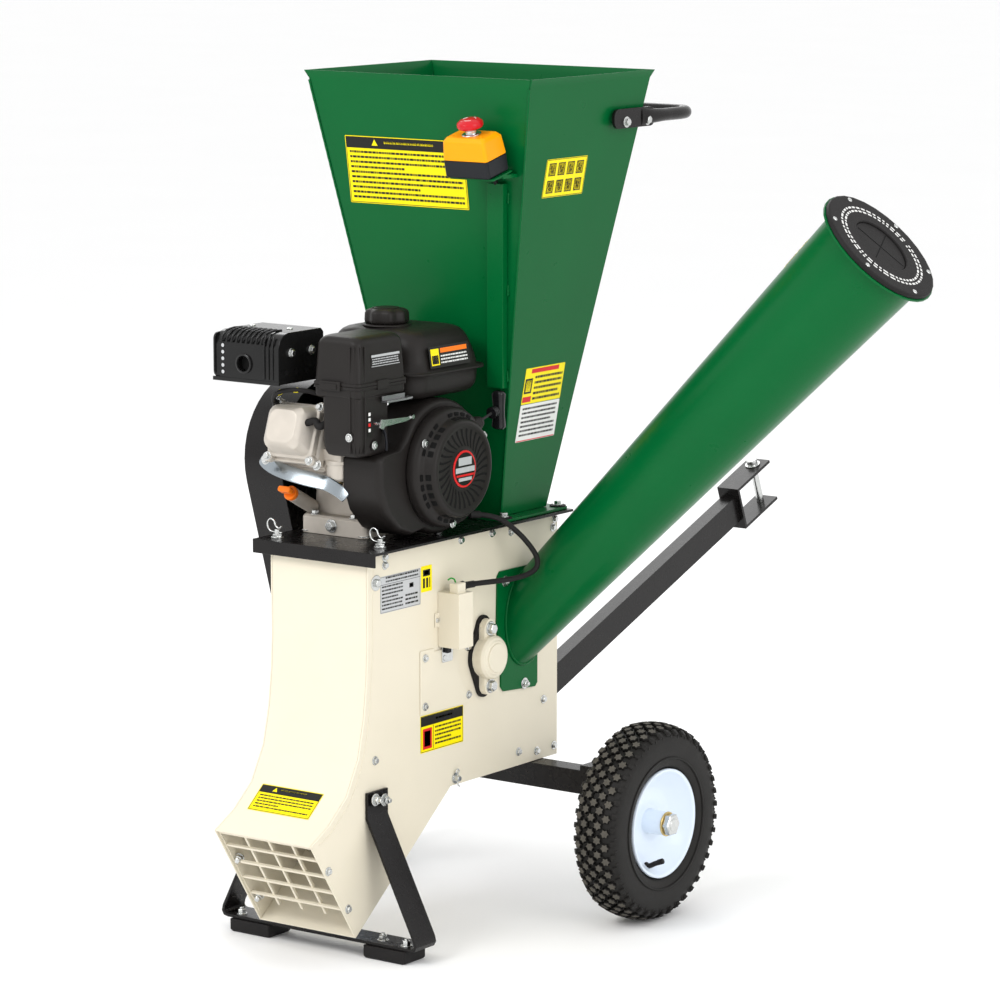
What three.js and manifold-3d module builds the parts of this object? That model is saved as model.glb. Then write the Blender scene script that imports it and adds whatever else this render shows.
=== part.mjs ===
// Petrol garden chipper-shredder, in millimetres. +X is the chute side, -Y the discharge end, +Z up.
// Each mesh is one closed solid. Neighbours keep a gap of about 0.3 mm.
import * as THREE from "three";
import { mergeVertices } from "three/addons/utils/BufferGeometryUtils.js";
import Module from "manifold-3d";

const wasm = await Module();
wasm.setup();

const GAP = 0.3;

// Body of folded sheet
const BODY = { half: 93.2, front: -141, rear: 345, top: 614.5, bottom: 223.3, sheet: 3, lining: 2.5 };
const BELLY_KNEE = [63.4, 223.3];
const OUTLET_TOP = [-280.6, 195.4];
const OUTLET_FOOT = [-175, 34.2];
const FRONT_CURVE = [[-141, 471], [-144, 420], [-151, 364], [-165, 306.6], [-194, 254], [-236, 219],
    OUTLET_TOP];

// Deck that carries the engine and the hopper
const DECK = { half: 116.7, front: -154.8, rear: 355, under: 615, top: 619, lip: 21.3 };
const THROAT = { half: 83.5, front: 209, rear: 323 };

// Hopper, at its base, below its lip and at its rim
const HOPPER = [
  { z: 624.1, half: 85.7, front: 206.6, rear: 325.2 },
  { z: 1297, half: 211.5, front: 106.6, rear: 424 },
  { z: 1309, half: 217.6, front: 101.7, rear: 428.8 },
];
const HOPPER_SHEET = 2;

// Rotor, its shaft and its drive
const ROTOR = { y: 143, z: 415, shaft: 10, disc: 165, discFrom: 69, discTo: 81 };
const SHAFT_SIDES = 12;
const RUNNING_BORE = ROTOR.shaft / Math.cos(Math.PI / SHAFT_SIDES) + GAP;
const CRANK = { y: 37, z: 725 };
const BELT = { x: -152, width: 13, depth: 8, crankRadius: 34, rotorRadius: 52 };
const GUARD = { from: -190, to: -118.2, wall: 2, crankRadius: 121, rotorRadius: 133 };

// Chipper chute: a cone that leaves the right side panel
const CHUTE = { y: 253.9, z: 453.7, yaw: 4.8, rise: 45.4, length: 866, footRadius: 53, mouthRadius: 86.8,
    wall: 2, flange: 103 };

// Wheels and axle
const WHEEL = { x: 303, y: 290, radius: 155, half: 38, bead: 84 };
const AXLE = { leg: 38, legFrom: 190, legTop: 231, legFoot: 125, barTop: 222.7, stub: 9.8 };

// Tow bar, which rises to the rear
const TOW = { z: 273, rise: 21.2, width: 26, height: 46.5, length: 693.5, clevis: 107, clevisWidth: 42,
    clevisHeight: 77, plate: 5, pin: 85 };

const COLOURS = {
  cream: [0xf3e9cf, 0.35, 0.1],
  green: [0x0a5f2b, 0.3, 0.1],
  black: [0x17181a, 0.4, 0.2],
  zinc: [0xb9bec4, 0.3, 0.9],
  steel: [0x8b9096, 0.4, 0.9],
  rubber: [0x1b1b1b, 0.8, 0],
  plastic: [0x2c2a28, 0.55, 0],
  aluminium: [0xc3bbb0, 0.45, 0.8],
  amber: [0xffa31a, 0.4, 0],
  red: [0xc8161d, 0.35, 0],
  white: [0xdfe9f5, 0.35, 0.1],
  orange: [0xff7a12, 0.4, 0],
};

const group = new THREE.Group();

function add(name, geometry, colour) {
  const [color, roughness, metalness] = COLOURS[colour];
  const mesh = new THREE.Mesh(geometry, new THREE.MeshStandardMaterial({ color, roughness, metalness }));
  mesh.name = name;
  group.add(mesh);
}

// ---- solids ----

function bare(geometry) {
  const g = geometry.index ? geometry.toNonIndexed() : geometry.clone();
  return new THREE.BufferGeometry().setAttribute("position", g.getAttribute("position"));
}

function solid(geometry) {
  const merged = mergeVertices(bare(geometry), 1e-3);
  const vertProperties = merged.attributes.position.array;
  return new wasm.Manifold(new wasm.Mesh({ numProp: 3, vertProperties,
      triVerts: new Uint32Array(merged.index.array) }));
}

function geometryOf(body) {
  const mesh = body.getMesh();
  const g = new THREE.BufferGeometry();
  g.setAttribute("position", new THREE.BufferAttribute(new Float32Array(mesh.vertProperties), 3));
  g.setIndex(new THREE.BufferAttribute(new Uint32Array(mesh.triVerts), 1));
  return g;
}

function join(...parts) {
  return geometryOf(parts.map(solid).reduce((sum, part) => sum.add(part)));
}

function cut(from, ...tools) {
  return geometryOf(tools.map(solid).reduce((rest, tool) => rest.subtract(tool), solid(from)));
}

function box(x0, x1, y0, y1, z0, z1) {
  return new THREE.BoxGeometry(x1 - x0, y1 - y0, z1 - z0).translate((x0 + x1) / 2, (y0 + y1) / 2,
      (z0 + z1) / 2);
}

// A rod between two points
function rod(from, to, radius, sides = 16, endRadius = radius) {
  const a = new THREE.Vector3(...from);
  const b = new THREE.Vector3(...to);
  const way = b.clone().sub(a);
  const g = new THREE.CylinderGeometry(endRadius, radius, way.length(), sides);
  g.applyQuaternion(new THREE.Quaternion().setFromUnitVectors(new THREE.Vector3(0, 1, 0),
      way.clone().normalize()));
  return g.translate(...a.add(b).multiplyScalar(0.5).toArray());
}

function outline(points) {
  return new THREE.Shape(points.map(([u, v]) => new THREE.Vector2(u, v)));
}

// An outline in (y, z) drawn out along X
function alongX(points, x0, x1, holes = []) {
  const shape = outline(points);
  shape.holes = holes.map((hole) => new THREE.Path(hole.map(([u, v]) => new THREE.Vector2(u, v))));
  const g = new THREE.ExtrudeGeometry(shape, { depth: x1 - x0, bevelEnabled: false });
  const turn = new THREE.Matrix4().makeBasis(new THREE.Vector3(0, 1, 0), new THREE.Vector3(0, 0, 1),
      new THREE.Vector3(1, 0, 0));
  return g.applyMatrix4(turn).translate(x0, 0, 0);
}

// An outline in (x, z) drawn out along Y
function alongY(points, y0, y1) {
  const g = new THREE.ExtrudeGeometry(outline(points), { depth: y1 - y0, bevelEnabled: false });
  const turn = new THREE.Matrix4().makeBasis(new THREE.Vector3(1, 0, 0), new THREE.Vector3(0, 0, 1),
      new THREE.Vector3(0, -1, 0));
  return g.applyMatrix4(turn).translate(0, y1, 0);
}

// An outline in (x, y) drawn out along Z
function alongZ(points, z0, z1, holes = []) {
  const shape = outline(points);
  shape.holes = holes.map((hole) => new THREE.Path(hole.map(([u, v]) => new THREE.Vector2(u, v))));
  return new THREE.ExtrudeGeometry(shape, { depth: z1 - z0, bevelEnabled: false }).translate(0, 0, z0);
}

// A solid of revolution about an axis through "at" along "way"; profile points are [along, radius]
function turned(profile, at, way, sides = 32) {
  const points = profile.map(([along, radius]) => new THREE.Vector2(radius, along));
  const g = new THREE.LatheGeometry(points, sides);
  const to = new THREE.Vector3(...way).normalize();
  g.applyQuaternion(new THREE.Quaternion().setFromUnitVectors(new THREE.Vector3(0, 1, 0), to));
  g.translate(...at);
  return upright(g);
}

// The same solid with its faces turned outwards
function upright(geometry) {
  const merged = mergeVertices(bare(geometry), 1e-3);
  const p = merged.attributes.position;
  const index = merged.index.array;
  const kept = [];
  let volume = 0;
  const [a, b, c] = [new THREE.Vector3(), new THREE.Vector3(), new THREE.Vector3()];
  for (let i = 0; i < index.length; i += 3) {
    const tri = [index[i], index[i + 1], index[i + 2]];
    if (new Set(tri).size < 3) continue;
    a.fromBufferAttribute(p, tri[0]);
    b.fromBufferAttribute(p, tri[1]);
    c.fromBufferAttribute(p, tri[2]);
    volume += a.dot(b.clone().cross(c));
    kept.push(tri);
  }
  merged.setIndex(kept.flatMap((tri) => (volume < 0 ? [tri[0], tri[2], tri[1]] : tri)));
  return merged;
}

// A solid through rings of points, all of one length, closed at both ends
function loft(rings) {
  const n = rings[0].length;
  const points = rings.flat();
  const index = [];
  for (let r = 0; r < rings.length - 1; r++)
    for (let i = 0; i < n; i++) {
      const j = (i + 1) % n;
      const [a, b, c, d] = [r * n + i, r * n + j, (r + 1) * n + j, (r + 1) * n + i];
      index.push(a, b, c, a, c, d);
    }
  for (const [r, flip] of [[0, true], [rings.length - 1, false]]) {
    const middle = rings[r].reduce((s, p) => s.map((v, k) => v + p[k] / n), [0, 0, 0]);
    points.push(middle);
    for (let i = 0; i < n; i++) {
      const j = (i + 1) % n;
      if (flip) index.push(points.length - 1, r * n + j, r * n + i);
      else index.push(points.length - 1, r * n + i, r * n + j);
    }
  }
  const g = new THREE.BufferGeometry().setAttribute("position",
      new THREE.BufferAttribute(new Float32Array(points.flat()), 3));
  g.setIndex(index);
  return upright(g);
}

// The points of a rectangle with round corners
function roundRect(u0, u1, v0, v1, radius, steps = 4) {
  const corners = [[u1 - radius, v0 + radius, -90], [u1 - radius, v1 - radius, 0],
      [u0 + radius, v1 - radius, 90], [u0 + radius, v0 + radius, 180]];
  return corners.flatMap(([u, v, start]) =>
    Array.from({ length: steps + 1 }, (_, i) => {
      const t = THREE.MathUtils.degToRad(start + (90 * i) / steps);
      return [u + radius * Math.cos(t), v + radius * Math.sin(t)];
    }),
  );
}

// A housing through round rectangles, level by level: [z, inset, corner radius]
function housing([x0, x1, y0, y1], levels) {
  return loft(
    levels.map(([z, inset, radius]) =>
      roundRect(x0 + inset, x1 - inset, y0 + inset, y1 - inset, radius).map(([x, y]) => [x, y, z]),
    ),
  );
}

function circle(u, v, radius, sides = 24) {
  return Array.from({ length: sides }, (_, i) => {
    const t = (2 * Math.PI * i) / sides;
    return [u + radius * Math.cos(t), v + radius * Math.sin(t)];
  });
}

// The outline round two circles of different size, joined by their tangents
function belt([u0, v0, r0], [u1, v1, r1], steps = 16) {
  const way = Math.atan2(v1 - v0, u1 - u0);
  const lean = Math.acos((r0 - r1) / Math.hypot(u1 - u0, v1 - v0));
  const arc = (u, v, r, from, to) =>
    Array.from({ length: steps + 1 }, (_, i) => {
      const t = from + ((to - from) * i) / steps;
      return [u + r * Math.cos(t), v + r * Math.sin(t)];
    });
  return [...arc(u0, v0, r0, way + lean, way + 2 * Math.PI - lean),
      ...arc(u1, v1, r1, way - lean, way + lean)];
}

// A strip of sheet: a line of points with a thickness to its left
function strip(points, thickness) {
  const normals = points.slice(1).map(([u, v], i) => {
    const [du, dv] = [u - points[i][0], v - points[i][1]];
    const length = Math.hypot(du, dv);
    return [-dv / length, du / length];
  });
  const far = points.map(([u, v], i) => {
    const a = normals[Math.max(i - 1, 0)];
    const b = normals[Math.min(i, normals.length - 1)];
    const scale = thickness / (1 + a[0] * b[0] + a[1] * b[1]);
    return [u + (a[0] + b[0]) * scale, v + (a[1] + b[1]) * scale];
  });
  return [...points, ...far.reverse()];
}

function tube(points, radius, steps, sides = 10) {
  const path = new THREE.CatmullRomCurve3(points.map((p) => new THREE.Vector3(...p)));
  const section = outline(circle(0, 0, radius, sides));
  return new THREE.ExtrudeGeometry(section, { extrudePath: path, steps, bevelEnabled: false });
}

const radians = THREE.MathUtils.degToRad;

// ---- body ----

function chuteDirection() {
  const { yaw, rise } = CHUTE;
  const flat = Math.cos(radians(rise));
  return new THREE.Vector3(flat * Math.cos(radians(yaw)), flat * Math.sin(radians(yaw)),
      Math.sin(radians(rise)));
}

function sideOutline() {
  const { front, rear, top, bottom } = BODY;
  return [[front, top], ...FRONT_CURVE, OUTLET_FOOT, BELLY_KNEE, [rear, bottom], [rear, top]];
}

function chuteOpening() {
  return circle(CHUTE.y, CHUTE.z + 3, 1, 24).map(([u, v]) => [
    CHUTE.y + (u - CHUTE.y) * 46,
    CHUTE.z + 3 + (v - CHUTE.z - 3) * 66,
  ]);
}

function buildBody() {
  const { half, sheet, lining, rear, top, bottom } = BODY;
  const bore = circle(ROTOR.y, ROTOR.z, 22);
  add("side_panel_right", alongX(sideOutline(), half - sheet, half, [bore, chuteOpening()]), "cream");
  add("side_panel_left", alongX(sideOutline(), -half, sheet - half, [bore]), "cream");
  const inner = half - sheet - GAP;
  const frontLine = [[BODY.front, top], ...FRONT_CURVE];
  add("front_panel", alongX(strip(frontLine, lining), -inner, inner), "cream");
  add("rear_panel", box(-inner, inner, rear - lining, rear, bottom, top), "cream");
  const bellyLine = [OUTLET_FOOT, BELLY_KNEE, [rear - lining - GAP, bottom]];
  add("belly_panel", alongX(strip(bellyLine, lining), -inner, inner), "cream");
  const access = cut(
    box(half + GAP, half + 1.8, -15, 118, 348, 447),
    rod([half, 143, 415], [half + 5, 143, 415], 62, 40),
    box(half, half + 5, 20, 80, 442, 460),
  );
  add("access_plate", access, "cream");
}

// The grille stands in the outlet: s runs down the outlet's face, d into the chute
function outletPoint(s, d) {
  const [y0, z0] = OUTLET_TOP;
  const length = Math.hypot(OUTLET_FOOT[0] - y0, OUTLET_FOOT[1] - z0);
  const [ty, tz] = [(OUTLET_FOOT[0] - y0) / length, (OUTLET_FOOT[1] - z0) / length];
  return [y0 + ty * s - tz * d, z0 + tz * s + ty * d];
}

function outletBlock(x0, x1, s0, s1, d0, d1) {
  const corners = [outletPoint(s0, d0), outletPoint(s1, d0), outletPoint(s1, d1), outletPoint(s0, d1)];
  return alongX(corners, x0, x1);
}

function buildGrille() {
  const inner = BODY.half - BODY.sheet - GAP;
  const parts = [outletBlock(-inner, inner, 6, 10, 4, 9)];
  for (const side of [-1, 1]) {
    const [a, b] = [side * inner, side * (inner - 2)].sort((p, q) => p - q);
    parts.push(outletBlock(a, b, 6, 176, 4, 36));
  }
  for (const s of [34, 68, 102, 136]) parts.push(outletBlock(-inner, inner, s, s + 4, 5, 9));
  for (const x of [-45, 0, 45]) parts.push(outletBlock(x - 2, x + 2, 7, 158, 8, 12));
  add("discharge_grille", join(...parts), "cream");
}

function buildDeck() {
  const { half, front, rear, under, top, lip } = DECK;
  const hole = [[-THROAT.half, THROAT.front], [THROAT.half, THROAT.front], [THROAT.half, THROAT.rear],
      [-THROAT.half, THROAT.rear]];
  const plate = alongZ([[-half, front], [half, front], [half, rear], [-half, rear]], under, top, [hole]);
  const apron = box(-half, half, front, front + 3, top - lip, top - 1);
  const studs = [[-90, -128], [88, -104]].map(([x, y]) => rod([x, y, top - 2], [x, y, top + 13], 4, 12));
  const pinHoles = [[-90, -128], [88, -104]].map(([x, y]) => rod([x - 8, y, top + 8.6],
      [x + 8, y, top + 8.6], 1.5, 10));
  add("engine_deck", cut(join(plate, apron, ...studs), ...pinHoles), "black");
}

function rClip(x, y) {
  const z = DECK.top + 8.6;
  const loop = new THREE.TorusGeometry(5.5, 1.1, 4, 10).translate(x - 13, y + 5.5, z);
  const straight = rod([x - 13, y, z], [x + 9, y, z], 1.1, 5);
  const outer = rod([x - 8, y + 6, z], [x + 7, y + 6, z], 1.1, 5);
  return join(loop, straight, outer);
}

function buildClips() {
  add("r_clip_left", rClip(-90, -128), "zinc");
  add("r_clip_right", rClip(88, -104), "zinc");
}

// ---- hopper ----

function hopperWall(ringOf) {
  return loft(HOPPER.map(ringOf));
}

function buildHopper() {
  const t = HOPPER_SHEET;
  const inside = t + GAP;
  const across = (y, sign) => ({ z, half, front, rear }) => {
    const at = y === "front" ? front : rear;
    return [[inside - half, at, z], [half - inside, at, z], [half - inside, at + sign * t, z],
        [inside - half, at + sign * t, z]];
  };
  const beside = (sign) => ({ z, half, front, rear }) => [
    [sign * half, front, z],
    [sign * half, rear, z],
    [sign * (half - t), rear, z],
    [sign * (half - t), front, z],
  ];
  add("hopper_front_panel", hopperWall(across("front", 1)), "green");
  add("hopper_rear_panel", hopperWall(across("rear", -1)), "green");
  add("hopper_right_panel", hopperWall(beside(1)), "green");
  add("hopper_left_panel", hopperWall(beside(-1)), "green");
  const throat = roundRect(-83.5, 83.5, 209, 323, 2, 1);
  const foot = alongZ(roundRect(-110, 110, 184, 352, 6, 2), DECK.top + GAP, DECK.top + 4.6, [throat]);
  add("hopper_base_flange", foot, "green");
}

// The hopper's front face at a height
function hopperFront(z) {
  const [low, high] = HOPPER;
  return low.front + ((high.front - low.front) * (z - low.z)) / (high.z - low.z);
}

function buildChannel() {
  const width = 30;
  const depth = 12;
  const wall = 2;
  const ring = (x, z) => {
    const y = hopperFront(z) - GAP;
    return [[0, 0], [0, -depth], [width, -depth], [width, 0], [width - wall, 0],
        [width - wall, wall - depth], [wall, wall - depth], [wall, 0]].map(
      ([u, v]) => [x + u, y + v, z],
    );
  };
  const [low, high] = [ring(88.5, 831), ring(124, 1150)];
  const bar = new THREE.BufferGeometry();
  const n = low.length;
  const points = [...low, ...high];
  const index = [];
  for (let i = 0; i < n; i++) {
    const j = (i + 1) % n;
    index.push(i, j, n + j, i, n + j, n + i);
  }
  const capTriangles = [[0, 1, 6], [0, 6, 7], [1, 2, 5], [1, 5, 6], [2, 3, 4], [2, 4, 5]];
  for (const [a, b, c] of capTriangles) index.push(c, b, a, n + a, n + b, n + c);
  bar.setAttribute("position", new THREE.BufferAttribute(new Float32Array(points.flat()), 3));
  bar.setIndex(index);
  add("conduit_channel", upright(bar), "green");
}

// ---- emergency stop, on a tray that leans back ----

const STOP = { x: 130, y: 58, z: 1160, lean: 14, wide: 82, deep: 54, base: 27, lid: 35 };

function onStop(geometry) {
  return geometry.applyMatrix4(new THREE.Matrix4().makeRotationX(radians(STOP.lean))).translate(STOP.x,
      STOP.y, STOP.z);
}

function buildStop() {
  const { wide, deep, base, lid } = STOP;
  const half = wide / 2;
  const tray = join(
    onStop(box(-half + 4, half + 4, 6, deep, -3.3, -0.3)),
    box(STOP.x + 20, STOP.x + half + 4, 88, hopperFront(1166.5) - 0.5, 1160.5, 1166.5),
  );
  add("estop_bracket", tray, "green");
  add("estop_base", onStop(housing([-half, half, 0, deep], [[0, 2, 4], [3, 0, 5], [base, 0, 5]])),
      "plastic");
  const cover = housing([-half, half, 0, deep], [[base + GAP, 0, 5], [base + lid - 6, 2, 6],
      [base + lid, 7, 6]]);
  const top = base + lid;
  const bore = rod([0, deep / 2, top - 20], [0, deep / 2, top + 5], 9.2, 24);
  add("estop_lid", onStop(cut(cover, bore)), "amber");
  const stem = turned([[-14, 0], [-14, 8.8], [7, 8.8], [7, 0]], [0, deep / 2, top], [0, 0, 1], 20);
  add("estop_stem", onStop(stem), "zinc");
  const cap = turned([[7.3, 0], [7.3, 11], [11, 19], [15, 20.5], [19.5, 19.5], [23.5, 14], [25, 0]],
      [0, deep / 2, top], [0, 0, 1], 28);
  add("estop_button", onStop(cap), "red");
}

function buildHandle() {
  const [side, z, bar, bend] = [211, 1237, 550, 42];
  const radius = 10;
  const points = [];
  points.push([side, 424, z], [side, 470, z], [side, bar - bend, z]);
  for (const t of [22.5, 45, 67.5])
    points.push([side - bend + bend * Math.cos(radians(t)), bar - bend + bend * Math.sin(radians(t)), z]);
  points.push([side - bend, bar, z], [side - 110, bar, z]);
  const mirrored = points.map(([x, y, h]) => [-x, y, h]).reverse();
  const loop = tube([...points, ...mirrored], radius, 36, 8);
  const ends = [-1, 1].map((s) =>
      alongX(roundRect(326, 436, z - 15, z + 15, 9, 3), s * 210 - 2.5, s * 210 + 2.5));
  add("hopper_handle", join(loop, ...ends), "black");
}

// ---- chipper chute ----

function buildChute() {
  const way = chuteDirection();
  const at = [BODY.half, CHUTE.y, CHUTE.z];
  const { length, footRadius, mouthRadius, wall, flange } = CHUTE;
  const radiusAt = (k) => footRadius + ((mouthRadius - footRadius) * k) / length;
  const start = -70;
  const profile = [
    [start, radiusAt(start)], [length - 3, radiusAt(length - 3)], [length - 3, flange], [length, flange],
    [length, mouthRadius - wall], [start, radiusAt(start) - wall], [start, radiusAt(start)],
  ];
  const face = BODY.half + GAP;
  const cone = turned(profile, at, way.toArray(), 36);
  const plate = alongX(
    [[181, 533], [188, 541], [292, 541], [316, 522], [320, 440], [287, 400], [287, 350], [281, 344],
        [197, 350], [190, 358], [190, 376], [184, 398], [184, 432], [179, 450]],
    face, face + 3,
  );
  const hollow = turned([[start - 5, 0], [start - 5, radiusAt(start) - wall],
      [200, radiusAt(200) - wall], [200, 0]], at, way.toArray(), 36);
  const welded = solid(cone).add(solid(plate)).subtract(solid(hollow))
      .subtract(solid(box(-100, face, 0, 500, 100, 800)));
  add("chipper_chute", geometryOf(welded), "green");
  const guard = turned([[length + GAP, 48], [length + GAP, 101], [length + 6, 100], [length + 7, 96],
      [length + 7, 50], [length + 6, 48], [length + GAP, 48]], at, way.toArray(), 28);
  add("chute_mouth_guard", guard, "rubber");
  const flap = turned([[length + 1, 0], [length + 1, 47.6], [length + 4, 47.6], [length + 4, 0]], at,
      way.toArray(), 32);
  add("chute_flap", flap, "rubber");
}

// ---- rotor ----

function bearing(side, from, closed) {
  const { y, z } = ROTOR;
  const ears = belt([y, z + 45, 15], [y, z - 45, 15], 6);
  const [a, b] = [side * from, side * (from + 11)].sort((p, q) => p - q);
  const plate = alongX(ears, a, b);
  const waist = rod([side * from, y, z], [side * (from + 11), y, z], 33, 20);
  const end = from + (closed ? 24 : 20);
  const hub = turned([[from, 0], [from, 31], [end - 4, 31], [end, 26], [end, 0]], [0, y, z], [side, 0, 0],
      20);
  const stop = closed ? from + 14 : end + 5;
  const bore = rod([side * (from - 5), y, z], [side * stop, y, z], RUNNING_BORE, SHAFT_SIDES);
  return cut(join(plate, waist, hub), bore);
}

function buildRotor() {
  const { y, z, shaft, disc, discFrom, discTo } = ROTOR;
  add("bearing_right", bearing(1, BODY.half + 6.2, true), "cream");
  add("bearing_left", bearing(-1, BODY.half + GAP, false), "cream");
  const line = (x0, x1, r, sides) => rod([x0, y, z], [x1, y, z], r, sides);
  add("rotor_shaft", line(-174, 110, shaft, SHAFT_SIDES), "steel");
  const knifeSlots = [0, 180].map((turn) => {
    const slot = box(discFrom - 2, discTo + 2, 62, 148, -4, 8);
    return slot.applyMatrix4(new THREE.Matrix4().makeRotationX(radians(turn + 25))).translate(0, y, z);
  });
  const bore = line(discFrom - 5, discTo + 5, shaft + GAP, 12);
  add("chipper_disc", cut(line(discFrom, discTo, disc, 40), bore, ...knifeSlots), "steel");
  const parts = [line(-66, 66, 26, 12)];
  for (const x of [-62, 0, 58]) parts.push(line(x, x + 6, 104, 20));
  for (const turn of [0, 90, 180, 270]) {
    const t = radians(turn);
    const [py, pz] = [y + 84 * Math.cos(t), z + 84 * Math.sin(t)];
    parts.push(rod([-66, py, pz], [68, py, pz], 7, 6));
    for (const x of [-38, 24]) {
      const hammer = box(x, x + 8, 74, 150, -18, 18);
      parts.push(hammer.applyMatrix4(new THREE.Matrix4().makeRotationX(t)).translate(0, y, z));
    }
  }
  const rotor = solid(parts[0]);
  const whole = parts.slice(1).reduce((sum, part) => sum.add(solid(part)), rotor);
  const through = solid(line(-80, 80, shaft + GAP, 12));
  add("hammer_rotor", geometryOf(whole.subtract(through)), "steel");
}

function grooved(radius, from, to, hub) {
  const [a, b] = [BELT.x - BELT.width / 2 - 0.6, BELT.x + BELT.width / 2 + 0.6];
  const rim = radius + BELT.depth + 1;
  return [[from, 0], [from, hub], [a - 4, hub], [a - 4, rim], [a, rim], [a, radius - 0.6],
      [b, radius - 0.6], [b, rim], [b + 4, rim], [b + 4, hub], [to, hub], [to, 0]];
}

function buildDrive() {
  const rotorPulley = turned(grooved(BELT.rotorRadius, -170, -124, 22), [0, ROTOR.y, ROTOR.z], [1, 0, 0],
      24);
  const bore = rod([-180, ROTOR.y, ROTOR.z], [-110, ROTOR.y, ROTOR.z], ROTOR.shaft + GAP, 12);
  add("rotor_pulley", cut(rotorPulley, bore), "steel");
  const { crankRadius, rotorRadius, depth, width, x } = BELT;
  const profile = [...grooved(crankRadius, -168, -138, 24)];
  const drum = [[-138, 24], [-138, 50], [-122, 50], [-122, 16], [-101, 16], [-101, 0]];
  const clutch = turned([...profile.slice(0, -2), ...drum], [0, CRANK.y, CRANK.z], [1, 0, 0], 24);
  add("engine_pulley", clutch, "steel");
  const loop = (extra) =>
      belt([CRANK.y, CRANK.z, crankRadius + extra], [ROTOR.y, ROTOR.z, rotorRadius + extra]);
  add("drive_belt", alongX(loop(depth), x - width / 2, x + width / 2, [loop(0)]), "rubber");
  const { from, to, wall } = GUARD;
  const cover = (inset) => belt([CRANK.y, CRANK.z, GUARD.crankRadius - inset],
      [ROTOR.y, ROTOR.z, GUARD.rotorRadius - inset], 20);
  add("belt_guard", cut(alongX(cover(0), from, to), alongX(cover(wall), from + wall, to + 10)), "black");
}

function buildScreen() {
  const { y, z } = ROTOR;
  const arc = [];
  for (let t = -150; t <= -30; t += 8) {
    arc.push([y + 178 * Math.cos(radians(t)), z + 178 * Math.sin(radians(t))]);
  }
  const plate = alongX(strip(arc, 4), -88, 66);
  const holes = [];
  for (const t of [-132, -111, -90, -69, -48])
    for (const x of [-78, -28, 22]) {
      const slot = box(x, x + 34, 160, 200, -22, 22);
      holes.push(slot.applyMatrix4(new THREE.Matrix4().makeRotationX(radians(t))).translate(0, y, z));
    }
  add("sizing_screen", cut(plate, ...holes), "steel");
}

// ---- axle, wheels, tow bar, feet ----

function buildAxle() {
  const { leg, legFrom, legTop, legFoot, barTop, stub } = AXLE;
  const [y0, y1] = [WHEEL.y - leg / 2, WHEEL.y + leg / 2];
  const parts = [box(-legFrom - 1, legFrom + 1, y0 + 0.5, y1 - 0.5, barTop - leg, barTop)];
  for (const side of [-1, 1]) {
    const [a, b] = [side * legFrom, side * (legFrom + leg)].sort((p, q) => p - q);
    parts.push(box(a, b, y0, y1, legFoot, legTop));
    const end = WHEEL.x + WHEEL.half + 14;
    parts.push(rod([side * (legFrom + leg - 2), WHEEL.y, WHEEL.radius], [side * end, WHEEL.y,
        WHEEL.radius], stub, 20));
    parts.push(rod([side * (end - 9), WHEEL.y, WHEEL.radius], [side * (end - 1), WHEEL.y, WHEEL.radius],
        15, 6));
  }
  add("axle_frame", join(...parts), "black");
}

function buildWheel(side, name) {
  const at = [side * WHEEL.x, WHEEL.y, WHEEL.radius];
  const way = [side, 0, 0];
  const { radius, half, bead } = WHEEL;
  const tyre = [
    [-28, bead + 1], [-35, 92], [-half, 110], [-35, 140], [-24, 152], [-8, radius], [8, radius],
    [24, 152], [35, 140], [half, 110], [35, 92], [28, bead + 1], [-28, bead + 1],
  ];
  add(`tyre_${name}`, turned(tyre, at, way, 36), "rubber");
  const bore = AXLE.stub + GAP;
  const rim = [
    [-38, bore], [-38, 17], [-6, 18], [-4, 50], [-20, 70], [-32, 80], [-34, 86], [-30.5, 86], [-27.5, 84],
    [27.5, 84], [30.5, 86], [34, 86], [31, 79], [20, 73], [3, 52], [2, 18], [38, 17], [38, bore],
        [-38, bore],
  ];
  add(`rim_${name}`, turned(rim, at, way, 24), "white");
}

function towFrame() {
  const t = radians(TOW.rise);
  const along = new THREE.Vector3(0, Math.cos(t), Math.sin(t));
  const across = new THREE.Vector3(1, 0, 0);
  const up = new THREE.Vector3(0, -Math.sin(t), Math.cos(t));
  return new THREE.Matrix4().makeBasis(across, along, up).setPosition(0, BODY.rear, TOW.z);
}

function buildTow() {
  const { width, height, length, clevis, clevisWidth, clevisHeight, plate, pin } = TOW;
  const frame = towFrame();
  const local = (g) => g.applyMatrix4(frame);
  const [hw, hh, cw, ch] = [width / 2, height / 2, clevisWidth / 2, clevisHeight / 2];
  const bar = local(box(-hw, hw, -20, length + 1, -hh, hh));
  const web = local(box(-cw, cw, length, length + plate, -ch, ch));
  const tongues = [-ch, ch - plate].map((z) =>
      local(box(-cw, cw, length, length + clevis, z, z + plate)));
  const holes = local(rod([0, length + pin, -ch - 5], [0, length + pin, ch + 5], 6.8, 20));
  const face = box(-200, 200, 100, BODY.rear + GAP, 0, 500);
  const foot = box(-48, 48, BODY.rear + GAP, BODY.rear + 6, 236, 318);
  const welded = join(bar, web, ...tongues, foot);
  add("tow_bar", cut(welded, holes, face), "black");
  const drop = turned(
    [[-ch - 12, 0], [-ch - 12, 4.5], [-ch - 9, 6.3], [ch + GAP, 6.3], [ch + GAP, 13], [ch + 2.4, 13],
        [ch + 2.4, 9.5], [ch + 10, 9.5], [ch + 11, 8], [ch + 11, 0]],
    [0, length + pin, 0], [0, 0, 1], 20,
  );
  add("hitch_pin", local(drop), "zinc");
}

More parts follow.
